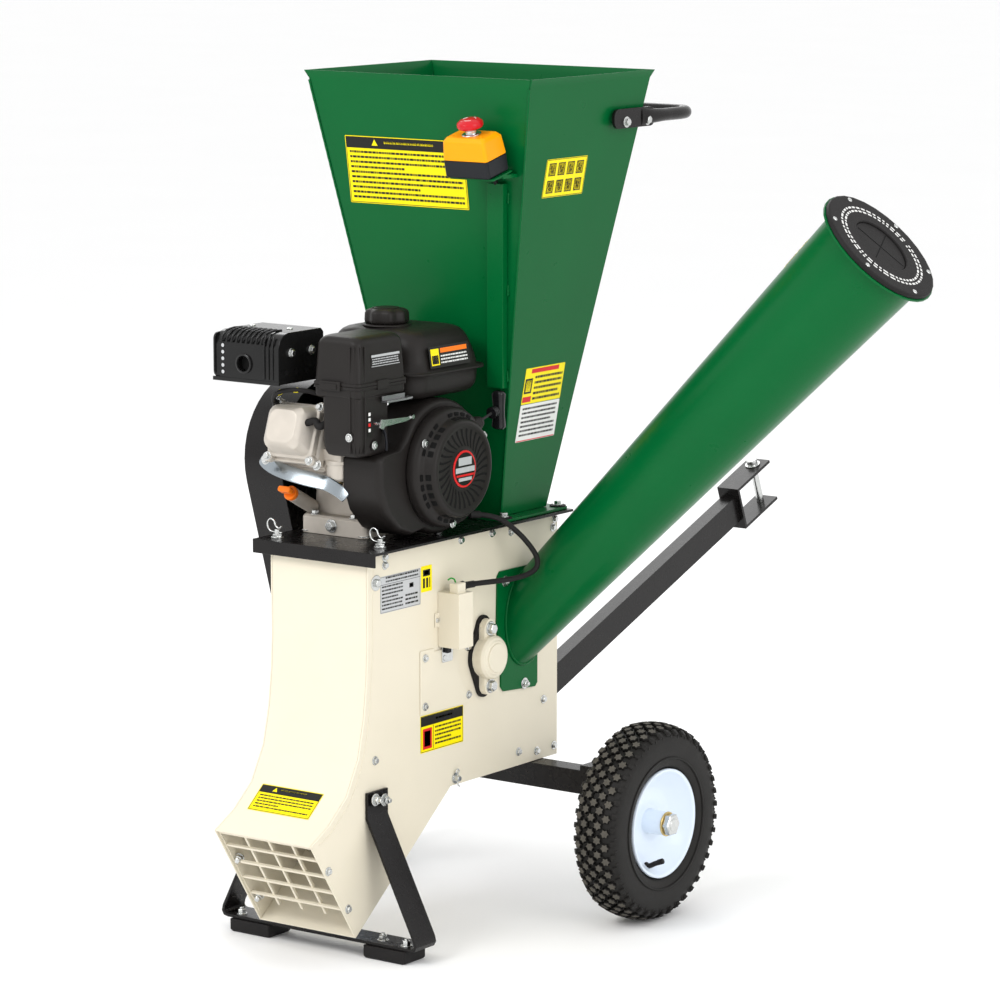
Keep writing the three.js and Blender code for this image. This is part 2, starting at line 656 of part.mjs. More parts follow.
function buildFeet() {
  const right = [[177, 20.3], [185, 22], [189, 29], [187, 38], [98.6, 214], [98.6, 253]];
  const left = right.map(([x, z]) => [-x, z]).reverse();
  add("foot_strap", alongY(strip([...left, ...right], 5), -151, -101), "black");
  for (const [name, side] of [["left", -1], ["right", 1]]) {
    const [a, b] = [side * 91, side * 169.3].sort((p, q) => p - q);
    add(`rubber_foot_${name}`, housing([a, b, -155.6, -101.4], [[0, 2.5, 3], [3, 0, 3], [19.9, 0, 3]]),
        "rubber");
  }
}

// ---- engine ----

const CYLINDER_RISE = 19;

function onCylinder(geometry) {
  return geometry.applyMatrix4(new THREE.Matrix4().makeRotationX(radians(-CYLINDER_RISE))).translate(-50,
      CRANK.y, CRANK.z);
}

function dipstickAxis() {
  return new THREE.Vector3(0, -0.883, 0.469);
}

const DIPSTICK = [-84.7, -100, 683.7];

function buildEngineBlock() {
  const deck = DECK.top + GAP;
  const way = dipstickAxis();
  const neckFrom = new THREE.Vector3(...DIPSTICK).addScaledVector(way, -58).toArray();
  const neckTo = new THREE.Vector3(...DIPSTICK).addScaledVector(way, -4).toArray();
  const parts = [
    housing([-95.8, 27, -64, 112], [[deck, 0, 8], [644, 0, 8], [648, 3, 8]]),
    rod([-99, CRANK.y, CRANK.z], [20, CRANK.y, CRANK.z], 76, 32),
    housing([-92, 18, -44, 100], [[640, 0, 14], [716, 4, 14]]),
    onCylinder(box(-40, 40, -154, -40, -36, 38)),
    onCylinder(housing([-46, 46, -174, -152], [[-44, 0, 6], [46, 0, 6]])),
    rod(neckFrom, neckTo, 11, 16),
  ];
  for (let i = 0; i < 6; i++) parts.push(onCylinder(box(-47, 47, -92 - 12 * i, -88 - 12 * i, -46, 48)));
  add("engine_block", join(...parts), "aluminium");
  const cover = housing([-43, 43, -41, 43], [[0, 0, 10], [10, 0, 12], [12, 4, 12], [34, 9, 14],
      [42, 17, 14]]);
  cover.applyMatrix4(new THREE.Matrix4().makeRotationX(Math.PI / 2)).translate(0, -174 - GAP, 2);
  add("valve_cover", onCylinder(cover), "aluminium");
  const stick = turned([[-3.6, 0], [-3.6, 10.4], [0, 11.4], [4, 11.4], [5, 10], [5, 2.6], [11, 2.6],
      [11, 0]], DIPSTICK, way.toArray(), 20);
  add("oil_dipstick", stick, "orange");
}

function buildEngineTop() {
  const tank = housing(
    [-95, 100, -28, 150],
    [[829, 20, 20], [836, 8, 22], [866, 3, 22], [867.5, -5, 26], [871, -5, 26], [872, 3, 22],
        [905, 11, 24], [925, 26, 26], [934, 52, 26]],
  );
  add("fuel_tank", tank, "plastic");
  const cap = turned([[934 + GAP, 0], [934 + GAP, 30], [940, 34.5], [955, 34], [959, 30], [959, 0]],
      [-9, 40, 0], [0, 0, 1], 28);
  add("fuel_cap", cap, "plastic");
  const filter = join(
    housing([3, 88, -155, -38], [[846, 4, 8], [850, 0, 10], [860, 0, 10], [861, -2, 11], [869, -2, 11],
        [870, 0, 10], [928, 2, 14], [938, 9, 14]]),
    housing([17, 87, -154, -78], [[760, 10, 10], [770, 0, 12], [848, 0, 12]]),
  );
  add("air_cleaner", filter, "plastic");
  const shell = alongX(
    [[-170, 859], [-62, 859], [-62, 930], [-68, 936], [-146, 936], [-157, 933], [-165, 926], [-170, 914]],
    -165, -51,
  );
  const cap2 = alongX([[-166, 862], [-66, 862], [-66, 928], [-72, 933], [-146, 933], [-155, 930],
      [-162, 923], [-166, 912]], -177, -164);
  const outlet = rod([-117, -178, 887], [-117, -150, 887], 13, 20);
  add("muffler", cut(join(shell, cap2), outlet), "black");
}

function buildBlower() {
  const { y, z } = CRANK;
  const ring = rod([27.5, y, z], [100, y, z], 104, 36);
  const duct = box(27.5, 84, -116, -20, 700, 757);
  const ramp = alongX([[-60, 650], [-110, 700], [-20, 705], [0, 650]], 27.5, 70);
  const hollow = rod([20, y, z], [96, y, z], 98, 36);
  const blockClear = box(0, 90, -40, 100, 650, 800);
  const shroud = solid(ring).add(solid(duct)).add(solid(ramp));
  add("fan_shroud", geometryOf(shroud.subtract(solid(hollow)).subtract(solid(blockClear))), "plastic");
  const cover = [
    [100.3, 92], [108, 92], [109, 87], [128, 84], [135, 72], [139, 67], [140, 60], [140, 0],
    [137, 0], [137, 60], [133, 69], [126, 80], [108, 83], [100.3, 86], [100.3, 92],
  ];
  const boss = rod([112, y + 66, z + 56], [112, y + 68 + 10, z + 62], 8, 14);
  const shell = turned(cover, [0, y, z], [1, 0, 0], 32);
  add("recoil_cover", join(shell, boss), "plastic");
}

const ROPE_FROM = [112, CRANK.y + 78.4, CRANK.z + 62.2];
const GRIP = [112, 154, 798];

function buildPull() {
  const [x, y, z] = GRIP;
  const grip = housing([x - 11, x + 11, y, y + 17], [[z - 30, 4, 5], [z - 25, 0, 7], [z + 25, 0, 7],
      [z + 30, 4, 5]]);
  const neck = rod([x, y - 14, z - 3.6], [x, y + 4, z], 6, 14, 8);
  add("pull_handle", join(grip, neck), "plastic");
  add("starter_rope", rod([ROPE_FROM[0], ROPE_FROM[1] + GAP, ROPE_FROM[2]], [x, y - 14.4, z - 3.7], 2.2,
      10), "rubber");
}

function buildControls() {
  const throttle = join(
    alongZ([[91, -104], [103, -104], [105, -60], [101, -40], [92, -40]], 838, 841),
    box(91, 94, -104, -50, 841, 847),
  );
  add("throttle_lever", throttle, "steel");
  const choke = join(
    alongX([[-124, 803], [-116, 800], [-112, 804], [-60, 806], [-46, 809], [-46, 813], [-60, 812],
        [-112, 814], [-120, 815]], 102, 104.5),
    rod([87.5, -118, 808], [104, -118, 808], 3, 12),
    rod([101, -46, 811], [107, -46, 811], 3.4, 12),
  );
  add("choke_lever", choke, "zinc");
}

// ---- control cable ----

function buildSwitch() {
  const x0 = BODY.half + GAP;
  const shell = cut(box(x0, 134, 31, 67, 447, 532), box(x0 - 5, 132.4, 32.6, 65.4, 440, 530.4));
  add("switch_cover", join(shell, box(112, 128, 36, 56, 531, 547), box(x0, x0 + 2, 22, 32, 478, 500)),
      "cream");
  const route = [
    [96, 118, 640], [106, 138, 637], [120, 158, 629], [137, 174, 611], [150, 187, 591], [158, 198, 570],
        [160, 196, 554],
    [154, 181, 544], [145, 155, 540], [133, 125, 539], [123, 92, 539.5], [120, 70, 540], [120, 56.4, 540],
  ];
  add("cable_conduit", tube(route, 4.2, 40, 8), "rubber");
}

buildBody();
buildGrille();
buildDeck();
buildClips();
buildHopper();
buildChannel();
buildStop();
buildHandle();
buildChute();
buildRotor();
buildDrive();
buildScreen();
buildAxle();
buildWheel(1, "right");
buildWheel(-1, "left");
buildTow();
buildFeet();
buildEngineBlock();
buildEngineTop();
buildBlower();
buildPull();
buildControls();
buildSwitch();

// The origin is the middle of the footprint, on the ground
const bounds = new THREE.Box3().setFromObject(group);
group.position.set(-(bounds.min.x + bounds.max.x) / 2, -(bounds.min.y + bounds.max.y) / 2, -bounds.min.z);

export default group;
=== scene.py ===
"""Looks of a petrol garden chipper-shredder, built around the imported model.

Shapes are drawn in the design's millimetres: X = 0 is the machine's middle plane, +X the chute side,
-Y the discharge end and Z = 0 the ground. Shape.piece() turns them into metres in the part's frame."""

import math
import random

import bpy
from mathutils import Matrix, Vector


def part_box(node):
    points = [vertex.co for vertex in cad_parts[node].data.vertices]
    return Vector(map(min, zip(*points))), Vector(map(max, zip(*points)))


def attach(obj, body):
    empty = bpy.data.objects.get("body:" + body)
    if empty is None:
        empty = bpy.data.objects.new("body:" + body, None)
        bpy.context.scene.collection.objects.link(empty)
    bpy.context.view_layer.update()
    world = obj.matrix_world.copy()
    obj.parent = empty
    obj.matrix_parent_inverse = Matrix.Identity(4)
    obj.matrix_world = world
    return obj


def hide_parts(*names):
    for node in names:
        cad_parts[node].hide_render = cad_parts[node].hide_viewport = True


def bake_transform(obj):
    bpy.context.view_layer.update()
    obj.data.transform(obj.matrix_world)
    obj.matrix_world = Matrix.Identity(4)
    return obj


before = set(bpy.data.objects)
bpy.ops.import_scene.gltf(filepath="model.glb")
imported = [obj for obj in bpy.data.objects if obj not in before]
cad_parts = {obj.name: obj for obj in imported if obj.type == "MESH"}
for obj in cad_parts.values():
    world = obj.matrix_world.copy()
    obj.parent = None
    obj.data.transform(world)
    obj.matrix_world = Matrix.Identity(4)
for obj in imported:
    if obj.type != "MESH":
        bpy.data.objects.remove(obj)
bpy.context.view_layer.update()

MM = 0.001
SIDES = ((1, "right"), (-1, "left"))
SIDE = 93.2  # outer face of the side panels
OUTLET_TIP = -280.6  # foremost point of the side panels
panel_low, panel_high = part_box("side_panel_right")
ORIGIN = Vector((panel_high.x - SIDE * MM, panel_low.y - OUTLET_TIP * MM, 0.0))


def place(x, y, z):
    """A point of the design, in metres in the part's frame."""
    return ORIGIN + Vector((x, y, z)) * MM


# ---- materials ----


def surface(name, colour, roughness, metallic=0.0, shade=0.06, patch=18.0, grain=0.08, size=0.8,
            coat=0.0, spread=0.06, shine=0.2):
    """A finish with patches of lighter and darker colour, uneven gloss and a fine bump.

    patch is in patches per metre and size is the grain's size in millimetres."""
    material = bpy.data.materials.new(name)
    material.use_nodes = True
    nodes, links = material.node_tree.nodes, material.node_tree.links
    shader = nodes["Principled BSDF"]
    shader.inputs["Metallic"].default_value = metallic
    shader.inputs["Coat Weight"].default_value = coat
    shader.inputs["Coat Roughness"].default_value = 0.12
    shader.inputs["Specular IOR Level"].default_value = shine
    position = nodes.new("ShaderNodeTexCoord").outputs["Object"]
    mottle = noise(nodes, links, position, patch, 5)
    tint = nodes.new("ShaderNodeMix")
    tint.data_type = "RGBA"
    tint.inputs["A"].default_value = (*[c * (1 - shade) for c in colour], 1)
    tint.inputs["B"].default_value = (*[min(1, c * (1 + shade)) for c in colour], 1)
    links.new(mottle, tint.inputs["Factor"])
    links.new(tint.outputs["Result"], shader.inputs["Base Color"])
    gloss = nodes.new("ShaderNodeMapRange")
    gloss.inputs["To Min"].default_value = max(0.02, roughness - spread)
    gloss.inputs["To Max"].default_value = roughness + spread
    links.new(noise(nodes, links, position, patch * 4, 4), gloss.inputs["Value"])
    links.new(gloss.outputs["Result"], shader.inputs["Roughness"])
    bump = nodes.new("ShaderNodeBump")
    bump.inputs["Strength"].default_value = grain
    bump.inputs["Distance"].default_value = size * MM
    links.new(noise(nodes, links, position, 1 / (size * MM), 3), bump.inputs["Height"])
    links.new(bump.outputs["Normal"], shader.inputs["Normal"])
    return material


def noise(nodes, links, position, scale, detail):
    """The output of a noise texture on a position."""
    texture = nodes.new("ShaderNodeTexNoise")
    texture.inputs["Scale"].default_value = scale
    texture.inputs["Detail"].default_value = detail
    links.new(position, texture.inputs["Vector"])
    return texture.outputs["Fac"]


def brushed(name, colour, roughness, direction):
    """Bare or plated steel with fine drawn lines along one axis."""
    material = surface(name, colour, roughness, metallic=1.0, shade=0.12, grain=0.0, spread=0.1)
    nodes, links = material.node_tree.nodes, material.node_tree.links
    stretch = nodes.new("ShaderNodeMapping")
    stretch.inputs["Scale"].default_value = [1.0 if k == direction else 60.0 for k in range(3)]
    links.new(nodes.new("ShaderNodeTexCoord").outputs["Object"], stretch.inputs["Vector"])
    lines = noise(nodes, links, stretch.outputs["Vector"], 30, 3)
    bump = next(n for n in nodes if n.type == "BUMP")
    bump.inputs["Strength"].default_value = 0.12
    bump.inputs["Distance"].default_value = 0.0002
    links.new(lines, bump.inputs["Height"])
    return material


def braid(name, colour):
    """A woven sleeve: two crossing waves give the strands."""
    material = surface(name, colour, 0.6, shade=0.2, patch=300, grain=0.3, size=0.5)
    nodes, links = material.node_tree.nodes, material.node_tree.links
    position = nodes.new("ShaderNodeTexCoord").outputs["Object"]
    waves = []
    for turn in (0.7, -0.7):
        mapping = nodes.new("ShaderNodeMapping")
        mapping.inputs["Rotation"].default_value = (turn, turn, turn)
        links.new(position, mapping.inputs["Vector"])
        wave = nodes.new("ShaderNodeTexWave")
        wave.inputs["Scale"].default_value = 260
        links.new(mapping.outputs["Vector"], wave.inputs["Vector"])
        waves.append(wave.outputs["Fac"])
    weave = nodes.new("ShaderNodeMath")
    weave.operation = "MAXIMUM"
    links.new(waves[0], weave.inputs[0])
    links.new(waves[1], weave.inputs[1])
    links.new(weave.outputs["Value"], next(n for n in nodes if n.type == "BUMP").inputs["Height"])
    return material


CREAM = surface("cream_paint", (0.75, 0.69, 0.555), 0.34, shade=0.025, grain=0.05, size=2.2, coat=0.15)
GREEN = surface("green_paint", (0.0, 0.108, 0.025), 0.3, shade=0.08, patch=9, grain=0.06, size=2.5,
                coat=0.03, shine=0.12)
BLACK = surface("black_paint", (0.008, 0.007, 0.007), 0.28, shade=0.3, grain=0.08, size=1.6, coat=0.06)
MUFFLER = surface("muffler_black", (0.008, 0.008, 0.008), 0.2, shade=0.3, grain=0.06, size=1.2,
                  coat=0.1, shine=0.25)
SHELL = surface("engine_plastic", (0.0145, 0.0125, 0.0115), 0.42, shade=0.15, grain=0.22, size=0.5)
GRIP = surface("grip_gloss", (0.009, 0.009, 0.010), 0.2, shade=0.2, grain=0.05, size=0.6, coat=0.3)
# Near black: on the slots, holes and slits it is painted shade where there are openings; inside the exhaust
# outlet it is soot and painted shade.
SOOT_AND_HOLE_SHADE = surface("soot_and_painted_hole_shade", (0.003, 0.003, 0.003), 0.8, shade=0.2, grain=0.1)
NYLON = surface("black_plastic", (0.012, 0.013, 0.016), 0.38, shade=0.15, grain=0.15, size=0.5)
AMBER = surface("amber_plastic", (1.0, 0.36, 0.0), 0.33, shade=0.03, grain=0.08, size=0.6)
RED = surface("red_plastic", (0.55, 0.004, 0.012), 0.22, shade=0.05, grain=0.04, size=0.6, coat=0.3)
ORANGE = surface("orange_plastic", (0.9, 0.19, 0.008), 0.4, shade=0.06, grain=0.1, size=0.6)
CAST = surface("cast_alloy", (0.56, 0.515, 0.455), 0.48, metallic=0.45, shade=0.14, patch=45,
               grain=0.35, size=0.7)
STEEL = brushed("bare_steel", (0.34, 0.34, 0.35), 0.38, 0)
ZINC = surface("zinc_plate", (0.62, 0.63, 0.62), 0.25, metallic=1.0, shade=0.16, patch=160, grain=0.12,
               size=0.5)
SHIELD = surface("shield_steel", (0.33, 0.37, 0.40), 0.24, metallic=1.0, shade=0.2, patch=30, grain=0.06)
CHROME = surface("bright_plate", (0.75, 0.78, 0.8), 0.14, metallic=1.0, shade=0.06, patch=60, grain=0.03)
BRASS = surface("yellow_zinc", (0.62, 0.47, 0.2), 0.3, metallic=1.0, shade=0.2, patch=150, grain=0.1,
                size=0.5)
TYRE = surface("tyre_rubber", (0.013, 0.012, 0.011), 0.55, shade=0.3, patch=40, grain=0.3, size=0.9)
TREAD = surface("tread_dust", (0.085, 0.078, 0.066), 0.85, shade=0.3, patch=90, grain=0.5, size=0.9)
RIM = surface("rim_paint", (0.72, 0.80, 0.90), 0.3, shade=0.03, grain=0.04, size=1.5, coat=0.3)
RUBBER = surface("black_rubber", (0.011, 0.010, 0.010), 0.6, shade=0.25, patch=60, grain=0.25, size=0.8)
EARTH = surface("wire_green", (0.02, 0.3, 0.03), 0.4)
ROPE = braid("starter_cord", (0.03, 0.03, 0.03))
SLEEVE = braid("cable_sleeve", (0.012, 0.011, 0.011))
YELLOW = surface("label_yellow", (0.95, 0.78, 0.0), 0.3, shade=0.03, grain=0.03)
INK = surface("label_black", (0.012, 0.012, 0.010), 0.35, shade=0.15, grain=0.03)
WHITE = surface("label_white", (0.8, 0.8, 0.78), 0.35, shade=0.04, grain=0.03)
SILVER = surface("label_silver", (0.55, 0.56, 0.57), 0.35, metallic=0.3, shade=0.05, grain=0.04)
SIGN_RED = surface("label_red", (0.65, 0.02, 0.02), 0.35, shade=0.05, grain=0.03)
SIGN_ORANGE = surface("label_orange", (0.95, 0.2, 0.01), 0.35, shade=0.05, grain=0.03)

# ---- shapes ----


def cuboid(x0, x1, y0, y1, z0, z1):
    return prism([(x0, y0), (x1, y0), (x1, y1), (x0, y1)], z0, z1)


def prism(outline, z0, z1):
    """A flat outline raised from z0 to z1."""
    return rings([[(u, v, z) for u, v in outline] for z in (z0, z1)])


def rings(loops, closed=False):
    """A skin over loops that all have the same number of points."""
    n, count = len(loops[0]), len(loops)
    points = [Vector(p) for loop in loops for p in loop]
    faces = []
    for k in range(count if closed else count - 1):
        a, b = k * n, (k + 1) % count * n
        faces += [(a + i, a + (i + 1) % n, b + (i + 1) % n, b + i) for i in range(n)]
    if not closed:
        faces += [tuple(reversed(range(n))), tuple(range((count - 1) * n, count * n))]
    return points, faces


def circle(radius, sides, start=0.0):
    """Points round the origin, anticlockwise from start."""
    steps = [start + 2 * math.pi * i / sides for i in range(sides)]
    return [(radius * math.cos(t), radius * math.sin(t)) for t in steps]


def lathe(profile, sides=32, closed=False):
    """Turned about Z. A profile point is (radius, height), and no radius is 0."""
    return rings([[(u, v, z) for u, v in circle(r, sides)] for r, z in profile], closed)


def curve(points, steps=8):
    """A smooth line through points, a Catmull-Rom spline."""
    p = [Vector(q) for q in points]
    p = [2 * p[0] - p[1], *p, 2 * p[-1] - p[-2]]
    line = []
    for a, b, c, d in zip(p, p[1:], p[2:], p[3:]):
        for k in range(steps):
            t = k / steps
            line.append(0.5 * (2 * b + (c - a) * t + (2 * a - 5 * b + 4 * c - d) * t**2
                               + (3 * b - a - 3 * c + d) * t**3))
    return [*line, p[-2]]


def sweep(path, radius, sides=12, first=None):
    """A tube along path. radius is a number, or one (along the first normal, across it) for each point."""
    path = [Vector(p) for p in path]
    last = len(path) - 1
    normal = Vector(first) if first else (path[1] - path[0]).orthogonal().normalized()
    loops = []
    for k, point in enumerate(path):
        way = (path[min(k + 1, last)] - path[max(k - 1, 0)]).normalized()
        normal = (normal - way * normal.dot(way)).normalized()
        across = way.cross(normal)
        a, b = radius[k] if isinstance(radius, list) else (radius, radius)
        loops.append([point + normal * u * a + across * v * b for u, v in circle(1, sides)])
    return rings(loops)


def rounded(u0, u1, v0, v1, radius, steps=5):
    """The outline of a rectangle with round corners."""
    corners = [(u1 - radius, v0 + radius, -90), (u1 - radius, v1 - radius, 0),
               (u0 + radius, v1 - radius, 90), (u0 + radius, v0 + radius, 180)]
    return [(u + radius * math.cos(math.radians(start + 90 * k / steps)),
             v + radius * math.sin(math.radians(start + 90 * k / steps)))
            for u, v, start in corners for k in range(steps + 1)]


def facing(at, way, roll=0.0):
    """The matrix that takes +Z to way, and the origin to a point."""
    turn = Vector(way).to_track_quat("Z", "Y").to_matrix().to_4x4()
    return Matrix.Translation(Vector(at)) @ turn @ Matrix.Rotation(math.radians(roll), 4, "Z")


def axes(at, right, up):
    """The matrix of a plane: X along right, Y along up, Z out of it."""
    u, v = Vector(right).normalized(), Vector(up).normalized()
    turn = Matrix((u, v, u.cross(v))).transposed().to_4x4()
    return Matrix.Translation(Vector(at)) @ turn


def upright(*at):
    """The matrix of an upright plane that faces +X."""
    return axes(at, (0, 1, 0), (0, 0, 1))


ACROSS = upright(0, 0, 0)  # takes (y, z, x) drawings to the design's axes


def dress_mesh(obj, bevel, smooth=32):
    """Rounds the edges and shades flats flat and curves smooth."""
    obj.data.shade_smooth()
    if bevel:
        edges = obj.modifiers.new("edges", "BEVEL")
        edges.width = bevel * MM
        edges.segments = 2
        edges.limit_method = "ANGLE"
        edges.angle_limit = math.radians(smooth)
        edges.miter_outer = "MITER_ARC"
    normals = obj.modifiers.new("normals", "WEIGHTED_NORMAL")
    normals.weight = 80
    normals.keep_sharp = True


class Shape:
    """A mesh in the making, in design millimetres. mark is the number of a face's material."""

    def __init__(self):
        self.points, self.faces, self.marks = [], [], []

    def add(self, part, matrix=None, mark=0):
        points, faces = part
        first = len(self.points)
        self.points += [matrix @ Vector(p) if matrix else Vector(p) for p in points]
        self.faces += [tuple(first + i for i in face) for face in faces]
        self.marks += [mark] * len(faces)
        return self

    def piece(self, name, materials, body="machine", bevel=0, stands_for=(), slot=None):
        """Makes the mesh and ties it to a body. slot is not used."""
        materials = materials if isinstance(materials, list) else [materials]
        mesh = bpy.data.meshes.new(name)
        mesh.from_pydata([ORIGIN + p * MM for p in self.points], [], self.faces)
        for material in materials:
            mesh.materials.append(material)
        mesh.polygons.foreach_set("material_index", self.marks)
        obj = bpy.data.objects.new(name, mesh)
        bpy.context.scene.collection.objects.link(obj)
        dress_mesh(obj, bevel)
        if body:
            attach(obj, body)
        if stands_for:
            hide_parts(*stands_for)
        return obj


# ---- fasteners ----


def bolt(shape, at, way, radius=5.8, height=4.2, washer=7.4, thread=0.0, roll=10.0):
    """A hexagon head or nut on a washer. thread is how far the bolt's end stands out of a nut."""
    turn = facing(at, way, roll)
    shape.add(lathe([(washer, 0.0), (washer, 1.1), (washer - 0.5, 1.5)], 28), turn)
    top = 1.4 + height
    head = [(radius * 0.95, 1.4), (radius, 1.9), (radius, top - 0.8), (radius * 0.86, top)]
    shape.add(lathe(head, 6), turn)
    if thread:
        core = radius * 0.54
        end = [(core, top - 0.2), (core, top + thread - 0.6), (core - 0.6, top + thread)]
        shape.add(lathe(end, 14), turn)
    else:
        shape.add(lathe([(radius * 0.8, top - 0.1), (radius * 0.72, top + 0.25)], 20), turn)


def screw(shape, at, way, radius=4.0, roll=25.0):
    """A pan head with a cross cut: four raised quarters on a domed disc."""
    turn = facing(at, way, roll)
    dome = [(radius, 0.0), (radius, 0.9), (radius * 0.86, 1.7), (radius * 0.5, 2.2)]
    shape.add(lathe(dome, 24), turn)
    quarter = lathe([(radius * 0.2, 2.0), (radius * 0.16, 2.7)], 8)
    for u, v in circle(radius * 0.34, 4, math.pi / 4):
        shape.add(quarter, turn @ Matrix.Translation((u, v, 0)))


def many(name, fastener, places, way, material=ZINC, **sizes):
    """One piece of like fasteners. places are points, all facing one way."""
    shape = Shape()
    for k, at in enumerate(places):
        fastener(shape, at, way, roll=17.0 * k, **sizes)
    shape.piece(name, material, bevel=0.25, slot="zinc_plate")


# ---- view, light and the cable ----


def camera():
    """The view of a long lens from the front right, a little above the deck."""
    data = bpy.data.cameras.new("camera")
    data.lens = 151.7
    data.clip_end = 60
    view = bpy.data.objects.new("camera", data)
    view.location = place(3890.4, -4997.4, 1705.4)
    view.rotation_euler = Vector((0.5828, -0.7964, 0.1616)).to_track_quat("Z", "Y").to_euler()
    bpy.context.scene.collection.objects.link(view)
    bpy.context.scene.camera = view


def lamp(name, at, aim, width, power):
    """A soft rectangular light that looks at a point."""
    data = bpy.data.lights.new(name, "AREA")
    data.shape = "RECTANGLE"
    data.size, data.size_y = width
    data.energy = power
    light = bpy.data.objects.new(name, data)
    light.location = place(*at)
    light.rotation_euler = (place(*at) - place(*aim)).to_track_quat("Z", "Y").to_euler()
    bpy.context.scene.collection.objects.link(light)


def studio():
    """Even, soft light with a pale floor."""
    scene = bpy.context.scene
    scene.view_settings.view_transform = "Standard"
    world = bpy.data.worlds.new("studio")
    world.use_nodes = True
    world.node_tree.nodes["Background"].inputs["Color"].default_value = (1, 1, 1, 1)
    world.node_tree.nodes["Background"].inputs["Strength"].default_value = 1.06
    scene.world = world
    lamp("key", (-900, -3600, 3600), (0, 0, 700), (2.2, 1.6), 84)
    lamp("fill", (3600, -900, 1900), (0, 0, 600), (1.6, 2.0), 34)
    lamp("back", (-2600, 3000, 3200), (0, 200, 700), (2.5, 2.0), 40)
    mesh = bpy.data.meshes.new("floor")
    mesh.from_pydata([place(x, y, -0.3) for x, y in circle(60000, 48)], [], [tuple(range(48))])
    pale = surface("floor_pale", (0.93, 0.93, 0.93), 0.75, shade=0.01, patch=1.5, grain=0.02)
    mesh.materials.append(pale)
    plane = bpy.data.objects.new("floor", mesh)
    scene.collection.objects.link(plane)


CABLE_ROUTE = [(96, 118, 640), (106, 138, 637), (120, 158, 629), (137, 174, 611), (150, 187, 591),
               (158, 198, 570), (160, 196, 554), (154, 181, 544), (145, 155, 540), (133, 125, 539),
               (123, 92, 539.5), (120, 70, 540), (120, 56.4, 540)]
CABLE_THICKNESS = 8.4


def stop_cable():
    """The switch's cable, from the deck to the gland on the side panel's cover."""
    path = curve(CABLE_ROUTE, 3)
    shape = Shape().add(sweep(path, CABLE_THICKNESS / 2, 16))
    cable = shape.piece("stop_switch_cable", SLEEVE, stands_for=["cable_conduit"], slot="black_rubber")
    ends = Shape()
    ends.add(sweep(curve(CABLE_ROUTE[-3:], 3)[1:-1], 5.4, 16))
    ends.add(sweep([(93, 112, 640.6), (96, 118, 640), (101, 128, 639)], 6.2, 16))
    ends.piece("cable_end_sleeves", RUBBER, bevel=0.3)


# ---- wheels ----

WHEEL_X, WHEEL_Y, AXLE_Z = 303, 290, 155
STUDS_ROUND = 42
STUD_SIZE = 8.8
STUD_ROWS = [(-23.5, 145.4, 0.5), (-11.8, 148, 0), (0, 149, 0.5), (11.8, 148, 0), (23.5, 145.4, 0.5)]
CARCASS = [(85, 28), (92, 35), (110, 38), (128, 37.4), (139, 35), (145, 29), (148, 18), (149, 0)]
RIM_FACE = [(80.5, 24), (83.8, 27), (85.6, 30.5), (85.6, 34.5), (83, 35.5), (80, 33), (78.6, 29.5),
            (74, 24), (66, 14), (55, 6), (47, 4), (39, 5), (33, 5), (27, 3), (21, 3), (19, 5), (18.6, 36),
            (17.4, 38)]


def star(radius, points=6, inner=0.66):
    """A star's outline."""
    tips = [radius, radius * inner] * points
    return [(r * math.cos(math.pi * k / points), r * math.sin(math.pi * k / points))
            for k, r in enumerate(tips)]


def studs(shape, hub):
    """Rows of six-pointed studs, with dusty tops. A row is (offset from the middle, radius, phase)."""
    levels = ((-3.0, 0.92), (4.8, 0.88), (5.6, 0.78))
    points, faces = rings([[(u, v, z) for u, v in star(STUD_SIZE * k)] for z, k in levels])
    for offset, height, phase in STUD_ROWS:
        for k in range(STUDS_ROUND):
            turn = 2 * math.pi * (k + phase) / STUDS_ROUND
            stud = hub @ Matrix.Rotation(turn, 4, "Z") @ facing((height, 0, offset), (1, 0, offset / 90))
            stud = stud @ Matrix.Rotation(turn * 7, 4, "Z")
            shape.add((points, faces[:-1]), stud)
            shape.add((points, faces[-1:]), stud, mark=1)


def shoulders(shape, hub):
    """A block and a rib for each stud, on both shoulders."""
    for k in range(STUDS_ROUND):
        turn = 2 * math.pi * (k + 0.25) / STUDS_ROUND
        for half in (-1, 1):
            block = hub @ Matrix.Rotation(turn, 4, "Z") @ facing((140.6, 0, half * 33), (1, 0, half * 0.9))
            shape.add(prism(rounded(-4, 4, -4.6, 4.6, 1.6, 2), -3, 4.2), block)
            rib = hub @ Matrix.Rotation(turn + 0.09, 4, "Z")
            shape.add(prism(rounded(127, 139, -1.4, 1.4, 0.9, 2), 30 * half, 36.3 * half), rib)


def tyre(side, name):
    """A block tyre: rows of studs on a dark carcass, with ribs on the shoulder."""
    hub = facing((side * WHEEL_X, WHEEL_Y, AXLE_Z), (side, 0, 0))
    shape = Shape()
    inner = [(r, -x) for r, x in CARCASS[-2::-1]]
    shape.add(lathe([*CARCASS, *inner], 96, closed=True), hub)
    shape.add(lathe([(101, 37.2), (103, 38.8), (105, 37.8), (103, 36.5)], 72, closed=True), hub)
    studs(shape, hub)
    shoulders(shape, hub)
    shape.piece(f"tyre_tread_{name}", [TYRE, TREAD], f"wheel_{name}",
                stands_for=[f"tyre_{name}"])


